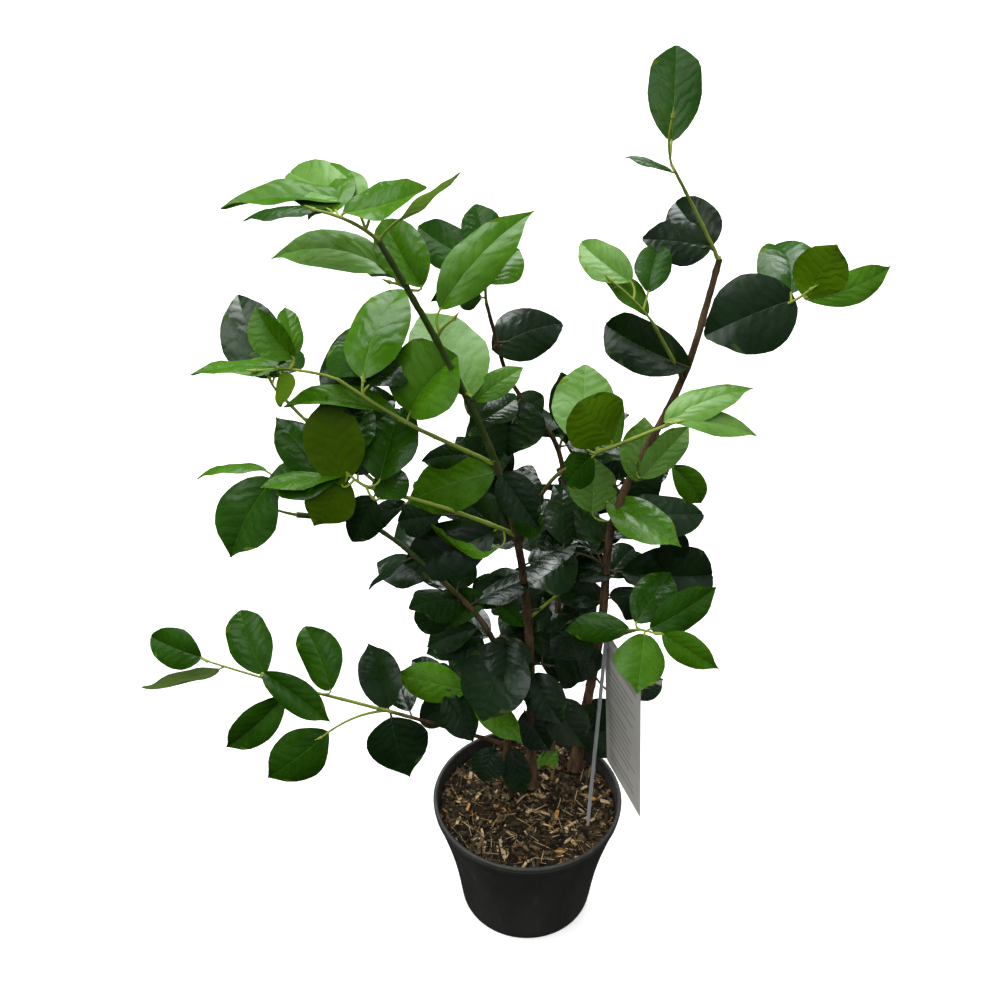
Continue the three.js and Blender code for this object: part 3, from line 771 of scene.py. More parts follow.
# mass: (limb, share of its length, how far the shoot reaches into the mass, leaves by the rule, tone, plan)
sprays = {
    # on the left leader
    "top_left_front": ("stem_left", 1, 0.5, 1, "b", """
        9.3 88b at.25 s21 h10.8 w36 f32 r26 d20 n-6 y-22 b50, 10.1 72p at.25 s19 h12 w66 n-22 d14 b80,
        9.3 58m at.75 s4 h11 r76 w32 b5, 2.9 58b at.62 s3 h12 w60 r-46 f34 d-34 y14 b60,
        1.9 50m at0 s19 h1.5 u r-40 w26 d24"""),
    # the first leaf here is pale partly as a painted sheen
    "top_left_side": ("stem_left", 0.93, 0.15, 1, "b", """
        9.6 97p at.5 s9 h11 w34 f28 r26 d30 y-34 b5, 11.1 60b at0 s10 h2.8 w62 f34"""),
    "top_left_right": ("stem_left", 0.85, 0.2, 0, "b", """
        1.36 106b at.35 s16 h12 w38 f26 d24 r-10 y18 b5"""),
    "back_top": ("stem_back", 1, 0.6, 1, "m", """
        11.6 52m at.7 s5 h1 w72, 1.1 46b at.35 s4 h3 w76 n-10, 8.6 44k at.4 s5 h9 w44 r30,
        9 24m at.1 s3 w80 n-20"""),
    "back_side": ("stem_back", 0.92, 0.1, 0, "x", """
        2.2 76x at0 s7 h7.5 w66 f18 d18 n-18 b90"""),
    "left_upper_tip": ("bough_left_upper", 1, 0.62, 1, "m", """
        10.7 46b at.6 s9 h12.8 w66 f46 n16 r-26 t-20, 11.9 42b at.6 s9 h12.6 w52 n-10 r34,
        9.3 80b at.45 s3 w34 r50 f24 d16 y-14, 5.2 36m at.72 s2 u w62 n20 d40"""),
    "left_upper_mid": ("bough_left_upper", 0.84, 0.16, 2, "m", """
        0.5 88b at0 s13 h11.8 w56 f30 d30 n-6 r-6 b90 y16"""),
    "left_upper_inner": ("bough_left_upper", 0.58, 0.02, 0, "m", """
        9.95 92b at0 s6 h10 w30 r38 d50 c10 n16, 1 57b at0 s8 h12.6 w122 f46 d44 n32 r-8 b60"""),
    "left_back_tip": ("bough_left_back", 1, 0.2, 1, "m", """
        11.3 78k at.4 s5 w66 f12"""),
    "left_mid_upper": ("bough_left_mid", 1, 0.3, 3, "m", """
        0.4 64m at0 s11 h2.3 w84 f32 n-8 b60, 1.1 36m at0 s14 h4.6 w84 n-20,
        10.6 60m at.92 s16 h8.7 w62 f30 d20 b5, 11.7 70m at.46 s11 h8 u w70 d10 f20 n12,
        7.4 44m at.82 s6 h6 u w100 n-20 d30, 9.1 66b at.64 s3 w36 r52 f24 d26 n10"""),
    "left_mid_tip": ("stem_mid", 1, 0.2, 0, "m", """
        9.7 62b at1 s30 h11.6 w34 r60 d56 f16, 7.1 70m at1 s24 h11.9 w80 f30 n12 d24 b5"""),
    "left_mid_front": ("bough_left_mid", 0.3, 0.3, 1, "k", """
        9 50x at.8 s4 n-20 w70"""),
    "left_low": ("stem_mid", 0.56, 0.3, 3, "k", """
        8.3 68m at0 s18 h1.4 w54 f26 r14, 1.6 42x at.1 s4 w80 n-14, 8 54x at.8 w62 n-20,
        10.5 48x at1 w60 n-20, 4.6 34m at0 s23 h2.3 w60 r30"""),
    "center_pale": ("stem_left", 0.77, 0.05, 0, "m", """
        11.1 90p at0 s8 h4.2 w68 f16 c20 d14 n-22 b80"""),
    "center_dark": ("stem_back", 0.8, 0.3, 1, "k", """
        6.2 50x at0 s8 h8.6 w130 f40 n20 d40, 1.7 46k at1 s6 h8 w66 n-15, 8.6 56k at.7 w64 n-30"""),
    "center": ("stem_right", 0.47, 0.5, 3, "x", """
        9.4 76x at.2 s15 h11 w42 r30 f18, 0.3 34x at1 s14 h8 w86 n-10, 10 52k at.8 w60 n-20"""),
    # round the right stem
    "right_mid_tip": ("bough_cross", 1, 0.1, 0, "p", """
        2.15 82p at.1 s5 h9.6 w38 f28 r-16 d20 n-8 y14 b10, 3.05 76p at0 s4 h12 w32 f26 r-14 d40 y10 b10"""),
    "right_mid_upper": ("bough_cross", 0.64, 0.1, 1, "b", """
        0.1 74p at0 s12 h10.2 w74 f8 c12 d12 n-20 b85, 10.5 50b at.4 s14 h2.1 w112 u d24 n24 b20,
        7.5 40m at0 s3 w80 n-30"""),
    # the two pale leaves here are pale as a painted highlight, in place of turning them to the light
    "right_mid_lower": ("stem_right", 0.67, 0.12, 1, "m", """
        0.2 56p at0 s12 h6 w70 f24 n22, 1.4 60p at.4 s12 h5.6 w48 f26 r20 n26,
        4.5 48b at0 s31 h2.9 w58 d40 b5"""),
    "right_front": ("stem_right", 0.57, 0.1, 0, "b", """
        0.1 48p at0 s20 h9.7 w98 f20 d20 n10 b60, 3.9 78b at0 s19 h11.4 w56 f30 d24 r-14 n34 b5"""),
    "right_back": ("stem_right", 0.58, 0.45, 0, "x", """
        2.8 84x at.1 s4 w58 n-8 f22 b90, 5 52x at1 w70 n-20"""),
    "right_low": ("bough_right_low", 1, 0.22, 0, "b", """
        9 58m at0 s8 h9 w50 f12 d34, 1.1 62m at0 s6 h11 w68 f26 n-10, 2 74m at.5 s3 w50 f26,
        4.1 64b at1 s6 h3 w46 f30 b0, 6.3 54b at.4 s3 w90 n32 f26 d20 b5"""),
    # the long low bough on the left
    "low_left_mid": ("bough_low_left", 1, 0.3, 0, "m", """
        11.1 65m at0 s14 h2.8 w66 f26 b95, 7.6 80m at1 s6 h9 w46 f36 d20 r-10 b0"""),
    "low_left_tip": ("bough_low_left", 1, 0.72, 0, "m", """
        11.2 64m at.45 s5 h11 w66 f26 b90 y10, 9.6 54m at1 s6 h10 w72 f26 b95,
        8.1 70k at.85 s4 u w36 r50 d30 y20, 4.25 76m at.52 s5 h1 w42 n16 f34 r24 y14 b0"""),
    "low_left_fork": ("bough_low_left", 0.68, 0.56, 0, "m", """
        7.8 78m at.8 s5 h8 w66 f24 d18 b0"""),
    "low_left_hang": ("bough_low_left", 0.66, 0.1, 0, "x", """
        5.5 64x at0 s5 h6 w100 f12 d24 b0, 11.4 66x at.1 s4 h11 w64 f34"""),
    # the skirt of old leaves over the pot
    "base_left": ("stem_mid", 0.25, 0.45, 4, "x", """
        9.5 72b at.9 s8 h3 w56 f20 n10, 4.3 70b at.75 s3 w46 f24 n28 b5, 4.9 52x at1 s6 h8 w74 n15,
        8 60x at.8 w66 n-20, 10.2 50x at1 w60 n-25"""),
    "base_front": ("stem_mid", 0.46, 0.1, 1, "x", """
        6.7 76x at0 s12 h3 w98 n22 f8 c26, 5.8 44x at0 s13 h2.6 w104 n34 d50 c40,
        8.5 64x at0 s10 h10 w56 n-5"""),
    "base_right": ("stem_left", 0.25, 0.25, 4, "x", """
        3.3 68x at.1 s12 h1.2 w84 f10, 1.6 54x at.1 s16 h1 w66, 6.2 36x at0 s6 h5 w74 n10,
        4.9 54x at.2 s8 h6 w76 n20"""),
    "base_mid": ("stem_right", 0.12, 0.6, 0, "x", """
        4.8 46x at0 s5 h3 w76 n10, 4.7 56x at.7 s22 h12 w84 n20, 4.9 48x at1 s22 h10.9 w90 n10"""),
    # the right leader's top
    "top_spray": ("shoot_top", 1, 0.42, 0, "m", """
        0.1 73m at.15 s11 h12.2 w57 f10 c34 d10 b92, 10 38m at0 s7 h5.6 w28 r50 d20"""),
    "upper_dark": ("shoot_top", 0.1, 0.02, 0, "x", """
        10.9 50x at0 s3 w94 f24 n-4 b95, 9.35 54x at0 s3 h10 w74 f24 n14 b100"""),
    "upper_left_tip": ("bough_upper_left", 1, 0.6, 0, "m", """
        10.55 58p at.5 s14 h11.8 w56 f28 n-8 b80, 0.5 42m at.25 s14 h0.5 w72,
        10.7 60b at.05 s3 w38 r16 d40 n10"""),
    "upper_left_dark": ("bough_upper_left", 0.3, 0.02, 0, "x", """
        9.9 80x at0 s14 h3.6 w56 f26 b100"""),
    "upper_right_tip": ("bough_upper_right", 1, 0.3, 0, "b", """
        11.8 64m at.3 s6 h12 w84 n-10 f24 d50 b80, 0.8 46b at.75 s4 h5 w100 u f30 n14,
        2.2 82b at.75 s5 h5 w34 f24 d16 n-10 b5"""),
    "upper_right_dark": ("bough_upper_right", 1, 0.02, 0, "x", """
        8.25 76x at0 s11 h2 w88 f28 r-10 n14 b100"""),
    # behind, where only the rule deals them out
    "rear_left": ("bough_rear_left", 1, 0.62, 14, "x", ""),
    "rear_right": ("bough_rear_right", 1, 0.62, 13, "x", ""),
    "rear_low": ("stem_back", 0.22, 0.62, 12, "x", ""),
    "rear_top": ("stem_back", 0.67, 0.45, 7, "k", ""),
}

limbLeaves = {  # leaves that sit on a limb itself
    "stem_left": """
        8.4 78b at.63 s3 h9 w62 f12 c28, 4.8 54x at.635 s4 w66 f34 n10, 4.3 34m at.565 s4 w80 n-10,
        1.8 46b at.755 s5 h3.4 w50 n10, 1.7 34k at.715 s4 w74 n-10, 0.6 36k at.31 s4 w70""",
    "bough_left_mid": """
        8.4 84x at.14 s3 h7 w62 n10 c30, 8.3 76b at.1 s15 h6.2 w46 f32 n20 r50 d-78 b10,
        7.1 46x at.93 s6 h7 w76 n-10, 8.7 46x at.74 s5 h7 w60 n-15""",
    "bough_left_back": """
        0.7 74k at.7 s24 h1.6 w66 f24, 2 54k at.6 s14 h2 w80 n-10, 3.4 44k at.75 s6 w70 n-20""",
    "bough_left_upper": """
        9 50k at.16 s3 w46 n-20""",
    "stem_mid": """
        8.2 46x at.76 s4 w26 r60, 5.5 50x at.12 s6 h4 w62 n10, 8.5 56x at.5 s8 h9 w60 n-10""",
    "stem_right": """
        10.7 70k at.53 s4 h9 w56 f16, 9.1 66x at.475 s10 h4 w44 f16 r25, 9.7 60x at.41 s6 h8 w56 f14,
        1.4 46x at.45 s4 w74 n-20, 3 96x at.475 s14 h3.4 w60 n-4 c30 b90 r12, 2 36x at.24 s46 h4 w80,
        4.8 46x at.18 s3 w80 n-10""",
    "bough_low_left": """
        11.2 48x at.55 s6 w64 n-30, 6.7 36x at.08 s6 h6 w104 n20 f24""",
    "stem_back": """
        0.9 36b at.03 s38 h6.6 w62 n10, 3.3 36x at.03 s38 h6.4 w76 n20""",
}


def readLeaves(text):
    for words in filter(None, (leaf.split() for leaf in text.split(","))):
        leaf = dict(leafDefaults, hour=float(words[0]))
        size, tone = re.fullmatch(r"([\d.]+)([a-z])", words[1]).groups()
        leaf.update(size=float(size) / 1000, tone=toneLetters[tone])
        for word in words[2:]:
            key, value = re.fullmatch(r"([a-z]+)(-?[\d.]*)", word).groups()
            leaf[key] = float(value) if value else 1
        yield leaf


def hourAim(hour, nearer):  # a direction from its hour on the clock face, and how far it leans to the front
    turn = math.radians(hour * 30)
    lean = math.radians(nearer)
    flat = clockRight * math.sin(turn) + clockUp * math.cos(turn)
    return flat * math.cos(lean) + clockFace * math.sin(lean)


def bladeFrame(aim, facing, roll):
    face = (facing - aim * facing.dot(aim)).normalized()
    side = face.cross(aim)
    turn = math.radians(roll)
    return side * math.cos(turn) + face * math.sin(turn), face * math.cos(turn) - side * math.sin(turn)


leaves = {tone: [] for tone in leafTones}
twigs = {"green": [], "brown": []}
up = Vector((0, 0, 1))

chance = {  # mean and spread of what is added to a leaf's own figure, or the two ends of a range
    "roll": (0, 7), "fold": (3, 5), "droop": (0, 5), "curl": (0, 0.1), "twist": (0, 11), "bow": (0, 14),
    "wave": (0.006, 0.034), "phase": (0, 6), "belly": (-0.22, 0.2), "blunt": (5, 60),
}
leafLimits = {"breadth": 0.94, "leastCurl": 0.25, "leastDroop": 0.01}
stalkPlan = {"foot": 0.00105, "head": 0.0008, "bend": 0.45, "overlap": 0.002, "steps": 6}
shootPlan = {
    "tipShell": 0.93, "along": 0.3, "ahead": 0.25, "footShare": 0.9, "footMost": 0.0014, "head": 0.0009,
    "steps": 9, "budBend": 0.003, "budLength": 0.007, "budFoot": 0.0016, "budHead": 0.0003, "budSteps": 5,
}
rulePlan = {  # the leaves that no plan tells of; the ranges are drawn in this order
    "ranges": {"size": (0.047, 0.066), "w": (60, 76), "f": (4, 18), "d": (10, 30), "b": (50, 100)},
    "stalk": 0.006, "spread": 14, "turn": math.radians(137.5), "sway": (-0.4, 0.4), "slip": (0.2, 0.8),
    "behind": (0, 1.1, 0.15), "push": (0.6, 1.1), "rearPush": (-0.3, 0.5), "steepest": 0.9,
    "firstShare": 0.15, "ahead": 0.5, "outward": 0.9, "sag": 0.1, "faceOut": 0.35, "faceFront": 0.2,
}
plannedPlan = {"stalkLean": 0.5, "faceFront": 0.7, "faceUp": 0.3}
backPlan = {"heading": 90, "fan": 70, "fanStep": 2.4, "rise": (-25, 35)}


def addLine(kind, start, bend, end, girthStart, girthEnd, steps):  # a bent twig or stalk, of age 0 throughout
    rows = []
    for t in np.linspace(0, 1, steps):
        place = start * (1 - t) ** 2 + bend * 2 * t * (1 - t) + end * t * t
        rows.append([*place, girthStart + (girthEnd - girthStart) * t, 0.0])
    twigs[kind].append(rows)


def addLeaf(root, aim, facing, leaf, rng, spread=0.0):  # facing is where the upper face looks
    def sway(name, wider=0.0):
        mean, width = chance[name]
        return rng.gauss(mean, width + wider)

    side, face = bladeFrame(aim, facing, leaf["r"] + sway("roll", spread))
    fold = math.radians(leaf["f"] + sway("fold"))
    leaves[leaf["tone"]].append({
        "root": root, "aim": aim, "side": side, "face": face, "size": leaf["size"],
        "wide": leaf["w"] / 100 * leafLimits["breadth"] / math.cos(fold), "fold": fold,
        "droop": math.radians(leaf["d"] + sway("droop")) + leafLimits["leastDroop"],
        "curl": max(leafLimits["leastCurl"], leaf["c"] / 100 + sway("curl")),
        "twist": math.radians(leaf["t"] + sway("twist", spread)),
        "wave": rng.uniform(*chance["wave"]), "phase": rng.uniform(*chance["phase"]),
        "belly": rng.uniform(*chance["belly"]), "blunt": leaf.get("b", rng.uniform(*chance["blunt"])) / 100,
        "bow": leaf.get("y", sway("bow")) / 100,
    })


def addStalk(kind, root, base, aim, plan):
    bend = base - aim * (base - root).length * plan["bend"]
    addLine(kind, root, bend, base + aim * plan["overlap"], plan["foot"], plan["head"], plan["steps"])


def plantPlanned(rows, text, kind, rng):
    for leaf in readLeaves(text):
        root = spotAt(rows, leaf["at"])
        aim = hourAim(leaf["hour"], leaf["n"])
        stalkAim = hourAim(leaf.get("h", leaf["hour"]), leaf["n"] * plannedPlan["stalkLean"])
        base = root + stalkAim * (leaf["s"] / 1000)
        facing = -clockFace if leaf["u"] else clockFace
        if leaf["n"]:  # a leaf that leans to or from the front turns its face up a little
            facing = facing * plannedPlan["faceFront"] + up * plannedPlan["faceUp"]
        addLeaf(base, aim, facing, leaf, rng)
        addStalk(kind, root, base, aim, stalkPlan)


def keptInside(base, aim, size):  # a leaf that would reach past the solids' back is turned along it
    room = (cadBox[1][1] - base.y) / size
    if aim.y <= room:
        return aim
    flat = Vector((aim.x, 0, aim.z)).normalized()
    share = max(-rulePlan["steepest"], min(rulePlan["steepest"], room))
    return flat * math.sqrt(1 - share * share) + Vector((0, share, 0))


def plantByRule(root, aim, around, letter, kind, rng, plan):
    drawn = {key: rng.uniform(*span) for key, span in plan["ranges"].items()}
    leaf = {**leafDefaults, **drawn, "tone": toneLetters[letter]}
    facing = (up + around * plan["faceOut"] + clockFace * plan["faceFront"]).normalized()
    aim = keptInside(root, aim, leaf["size"] + plan["stalk"])
    base = root + aim * plan["stalk"]
    addLeaf(base, aim, facing, leaf, rng, plan["spread"])
    addStalk(kind, root, base, aim, stalkPlan)


def plantFill(rows, fill, letter, kind, rng, axis, isRear, plan):  # leaves by the rule, away from the front
    order = "".join(toneLetters)
    behind = axis if isRear else Vector(plan["behind"])
    for k in range(fill):
        share = (k + rng.uniform(*plan["slip"])) / fill
        root = spotAt(rows, min(1, plan["firstShare"] + share))
        turn = k * plan["turn"] + rng.uniform(*plan["sway"])
        sideways = axis.cross(up).normalized()
        around = sideways * math.cos(turn) + axis.cross(sideways) * math.sin(turn)
        push = rng.uniform(*plan["rearPush" if isRear else "push"])
        aim = axis * plan["ahead"] + around * plan["outward"] + behind * push - up * plan["sag"]
        older = order[max(0, order.index(letter) - rng.choice((0, 0, 1)))]
        plantByRule(root, aim.normalized(), around, older, kind, rng, plan)


backLeaves = {  # limb: (first and last share of its length, leaves, tone letter), all on its far side
    "stem_back": (0.26, 0.62, 9, "x"), "stem_right": (0.2, 0.44, 3, "x"), "stem_left": (0.3, 0.58, 5, "x"),
    "stem_mid": (0.34, 0.8, 5, "x"), "bough_rear_left": (0.15, 0.95, 8, "x"),
    "bough_rear_right": (0.15, 0.95, 8, "x"),
}


def dressBack(limb, first, last, count, letter, rng, plan):
    for k in range(count):
        share = first + (last - first) * (k + rng.uniform(*plan["slip"])) / count
        swing = math.sin(k * backPlan["fanStep"] + rng.uniform(*plan["sway"]))
        aim = direction(backPlan["heading"] + backPlan["fan"] * swing, rng.uniform(*backPlan["rise"]))
        plantByRule(spotAt(routes[limb], share), aim, aim, letter, "brown", rng, plan)


def growSpray(name, on, at, reach, fill, letter, text, rng, plan):
    limb = routes[on]
    root = pointAt(limb, at)
    solid = nodeTriangles("foliage_" + name).reshape(-1, 3)
    away = np.linalg.norm(solid - root[:3], axis=1)
    toTip = Vector(solid[away > away.max() * plan["tipShell"]].mean(0) - root[:3])
    start = Vector(root[:3])
    end = start + toTip * reach
    run = end - start
    bend = start + tangentAt(limb, at) * run.length * plan["along"] + run * plan["ahead"]
    kind = "brown" if letter in "xk" else "green"
    foot = min(root[3] * plan["footShare"], plan["footMost"])
    addLine(kind, start, bend, end, foot, plan["head"], plan["steps"])
    rows = np.array(twigs[kind][-1])[:, :4]
    axis = toTip.normalized()
    plantPlanned(rows, text, kind, rng)
    plantFill(rows, fill, letter, kind, rng, axis, name.startswith("rear"), rulePlan)
    addLine(kind, end, end + axis * plan["budBend"], end + axis * plan["budLength"], plan["budFoot"],
            plan["budHead"], plan["budSteps"])  # a pointed bud


stubs = {  # cut or broken side twigs: limb, share of its length, hour, length and kind
    "rows": [("stem_left", 0.345, 1.65, 0.056, "green"), ("stem_left", 0.36, 2.6, 0.012, "brown"),
             ("stem_right", 0.62, 10.5, 0.012, "brown"), ("stem_left", 0.335, 11, 0.007, "brown")],
    "nearer": 12, "foot": 0.0016, "head": 0.0013, "steps": 5,
}
leafSeeds = {"sprays": 100, "limbs": 500, "backs": 700}

for number, (name, spray) in enumerate(sprays.items()):
    growSpray(name, *spray, random.Random(leafSeeds["sprays"] + number), shootPlan)
for limb, share, hour, length, kind in stubs["rows"]:
    foot = spotAt(routes[limb], share)
    end = foot + hourAim(hour, stubs["nearer"]) * length
    addLine(kind, foot, (foot + end) / 2, end, stubs["foot"], stubs["head"], stubs["steps"])
for number, (limb, text) in enumerate(limbLeaves.items()):
    kind = "green" if limb.startswith("bough_left") else "brown"
    plantPlanned(routes[limb], text, kind, random.Random(leafSeeds["limbs"] + number))
for number, (limb, figures) in enumerate(backLeaves.items()):
    dressBack(limb, *figures, random.Random(leafSeeds["backs"] + number), rulePlan)
print("leaves planned:", {tone: len(items) for tone, items in leaves.items()})


leafFigures = ("size", "wide", "fold", "droop", "curl", "twist", "wave", "phase", "belly", "blunt", "bow")


def makeLeaves():
    pattern = makeLeafPattern(leafPlan)
    tree = makeLeafTree()
    pieces = {}
    for tone, items in leaves.items():
        buds = makeMesh(tone + "Buds", [item["root"] for item in items])
        for name in ("root", "aim", "side", "face"):
            setAttribute(buds, name, [item[name][:] for item in items], "FLOAT_VECTOR")
        for name in leafFigures:
            setAttribute(buds, name, [item[name] for item in items])
        pieces[tone] = growWith(buds, tree, {"Pattern": pattern, **leafFinishes[tone]}, tone + "Leaves")
    bpy.data.objects.remove(pattern)
    masses = {tone: [] for tone in leafTones}
    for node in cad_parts:
        if node.startswith("foliage_"):
            letter, _ = sprays[node.removeprefix("foliage_")][-2:]
            masses[toneLetters[letter]].append(node)
    for tone, piece in pieces.items():
        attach(piece, "root")
        if masses[tone]:
            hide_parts(*masses[tone])


makeLeaves()
print("leaves made")


# Twigs and stalks

twigKinds = {
    "green": ("greenTwig", (0.270, 0.370, 0.040), (0.340, 0.430, 0.070), 0.5, 120.0),
    "brown": ("brownTwig", (0.070, 0.050, 0.025), (0.045, 0.075, 0.025), 0.6, 90.0),
}
twigSizes = {
    "Step": 0.0022, "Sides": 8, "Relief": 0.0001, "Relief Scale": 500.0, "Relief Stretch": 0.25,
    "Node Spacing": 0.021, "Node Swell": 0.1,
}


def makeTwigs():
    for kind, lines in twigs.items():
        piece = makeTubes(kind + "Twigs", lines, makePlainFinish(*twigKinds[kind]), twigSizes)
        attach(piece, "root")


makeTwigs()
print("twigs made")


# Pot

pot = {
    "taper": 0.0275, "lipBead": 0.0022, "collar": 0.012, "step": 0.0022, "waist": 0.0034, "wall": 0.0018,
    "floor": 0.0025, "sides": 96, "sharpAngle": 38,
    # each point is how far out of the foot, the wall or the rim it stands, and how far above its level
    "underside": [(-0.012, 0.0008), (-0.009, 0), (-0.003, 0), (-0.0008, 0.0008), (0, 0.003)],
    "outerWall": (0.012, -0.004, 9), "innerWall": (-0.002, 0.010, 8),
    "collarFoot": [(-0.0016, 0.0009), (-0.0011, 0.0022)],
    "collarTop": [(-0.0007, -0.0062), (-0.0003, -0.0054)],
    "bead": (-50, 28, 9), "lipInside": [(0.0004, -0.004), (-0.0002, -0.008)],
    "wallTop": [(-0.0002, -0.0012), (0.0004, 0)], "floorEdge": [(-0.0033, 0.001), (-0.006, 0)],
}
plastic = {
    "ground": (0.040, 0.041, 0.038), "patch": (0.058, 0.059, 0.055), "gloss": 0.45,
    "skin": {"Scale": 24.0, "Stretch": (1, 1, 0.25), "Amount": 0.7, "Grain": 0.4},
    "dust": {"Dust": (0.10, 0.09, 0.075, 1), "Amount": 0.35, "Scale": 45.0},
    "streakStretch": (1, 1, 0.06), "streakScale": 130.0, "streakFade": (0.58, 0.72), "streakAmount": 0.4,
    "streak": (0.09, 0.09, 0.088), "patchDull": 0.12, "streakDull": 0.1, "dullest": 0.36,
    "depth": 0.0002, "strength": 0.5,
}


def makePotFinish(plan):
    material, tree, shader = startMaterial("potPlastic", {"Roughness": plan["gloss"]})
    base = mottled(tree, plan["ground"], plan["patch"], **plan["skin"])
    dusty = placeGroup(tree, dust, Color=base["Color"], **plan["dust"])
    place = stretched(tree, objectPlace(tree), plan["streakStretch"])
    streak = ramp(tree, noise(tree, place, plan["streakScale"], 3.0), *plan["streakFade"])
    worn = blend(tree, streak * plan["streakAmount"], dusty["Color"], opaque(plan["streak"]))
    plug(tree, worn, shader.inputs["Base Color"])
    rough = base["Patches"] * plan["patchDull"] + streak * plan["streakDull"] + plan["dullest"]
    plug(tree, rough, shader.inputs["Roughness"])
    addBump(tree, shader, streak, plan["depth"], plan["strength"])
    return material


def potProfile(plan):  # radius and height, from the middle of the underside round to the middle of the floor
    low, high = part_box("pot")
    rim = (high.x - low.x) / 2
    base, top = low.z, high.z
    foot = rim - plan["taper"]
    collar = top - plan["collar"]
    bead = plan["lipBead"]

    def wallAt(z):
        share = (z - base) / (collar - base)
        return foot + (rim - plan["step"] - foot) * share - plan["waist"] * math.sin(math.pi * share)

    def offset(radius, level, rows):
        return [(radius + out, level + above) for out, above in rows]

    rise, drop, count = plan["outerWall"]
    profile = [(0.0, base + plan["underside"][0][1]), *offset(foot, base, plan["underside"])]
    profile += [(wallAt(z), z) for z in np.linspace(base + rise, collar + drop, count)]
    profile += offset(wallAt(collar), collar, plan["wallTop"])
    profile += offset(rim, collar, plan["collarFoot"]) + offset(rim, top, plan["collarTop"])
    first, turn, count = plan["bead"]
    for angle in (math.radians(first + turn * k) for k in range(count)):
        profile.append((rim - bead + bead * math.cos(angle), top - bead + bead * math.sin(angle)))
    profile += offset(rim - 2 * bead, top, plan["lipInside"])
    drop, rise, count = plan["innerWall"]
    profile += [(wallAt(z) - plan["wall"], z) for z in np.linspace(collar + drop, base + rise, count)]
    floor = base + plan["floor"]
    return [*profile, *offset(foot, floor, plan["floorEdge"]), (0.0, floor)]


def makePot(plan):
    points, rings = [], []
    for radius, z in potProfile(plan):
        start = len(points)
        if radius == 0:
            rings.append([start] * plan["sides"])
            points.append((0, 0, z))
        else:
            rings.append(list(range(start, start + plan["sides"])))
            points += [(radius * x, radius * y, z) for x, y in circle(plan["sides"])]
    piece = makeMesh("potShell", points, joinRings(rings, True))
    piece.data.shade_smooth()
    piece.data.set_sharp_from_angle(angle=math.radians(plan["sharpAngle"]))
    piece.data.materials.append(makePotFinish(plastic))
    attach(piece, "root")
    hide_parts("pot")


makePot(pot)
print("pot made")


# Potting mix: a closed bed and, on it, chips and fibres of bark

mix = {
    "tints": [(0.195, 0.122, 0.054), (0.045, 0.030, 0.014), (0.620, 0.450, 0.240), (0.014, 0.009, 0.005),
              (0.600, 0.290, 0.080), (0.120, 0.098, 0.045)],
    "shares": [0.17, 0.28, 0.105, 0.30, 0.035, 0.11],  # of each tint
    "tintPatch": 0.55, "tintGloss": 0.85, "tintScale": 260.0, "grain": 0.9, "patternSeed": 21,
    "wallGap": 0.0004,
    "soil": ("mixSoil", (0.016, 0.012, 0.007), (0.045, 0.033, 0.018), 0.95, 160.0, 0.9, 0.0015),
}
bedPlan = {
    "rings": 22, "sides": 72, "swell": 0.001575, "lowest": -0.8, "rimDrop": 0.003, "rimGap": 0.001,
    "humps": 26, "humpSeed": 3, "humpSize": (0.012, 0.03), "skirtIn": 0.86, "skirtDown": 0.04,
}
chipRanges = {  # drawn in this order for each pattern
    "length": (0.009, 0.017), "breadth": (0.0032, 0.0066), "depth": (0.0008, 0.0022), "taper": (0.02, 0.35),
    "bow": (-0.06, 0.06),
}
fibreRanges = {
    "length": (0.009, 0.02), "breadth": (0.0005, 0.0009), "depth": (0.0004, 0.0007), "bow": (-0.5, 0.5),
}
scatters = {  # piece: (patterns, their ranges, what the ranges leave out, figures of the scatter)
    "barkChips": (7, chipRanges, {}, {
        "Density": 52000.0, "Seed": 7, "Tilt": 0.44, "Smallest": 0.36, "Largest": 1.15, "Lift": 0.0034,
    }),
    "barkFibres": (5, fibreRanges, {"taper": 0.3}, {
        "Density": 52000.0, "Seed": 11, "Tilt": 0.35, "Smallest": 0.5, "Largest": 1.3, "Lift": 0.0046,
    }),
}


chipShape = {
    "stations": (-0.5, -0.18, 0.17, 0.5), "corners": ((-1, -1), (1, -1), (0.9, 1), (-0.8, 1)),
    "slip": (0.92, 1.05), "swell": (0.8, 1.1),
}


def makeChipPattern(name, rng, length, breadth, depth, taper, bow):  # a split chip: a bent, uneven box
    points, rings = [], []
    for share in chipShape["stations"]:
        slim = 1 - taper * abs(share) * 2
        sag = bow * (0.25 - share * share) * length
        rings.append([len(points) + c for c in range(4)])
        for y, z in chipShape["corners"]:
            along = share * length * rng.uniform(*chipShape["slip"])
            across = y * breadth / 2 * slim * rng.uniform(*chipShape["swell"])
            points.append((along, across, z * depth / 2 * slim * rng.uniform(*chipShape["swell"]) + sag))
    return makeMesh(name, points, [(3, 2, 1, 0), (12, 13, 14, 15), *joinRings(rings, True)])


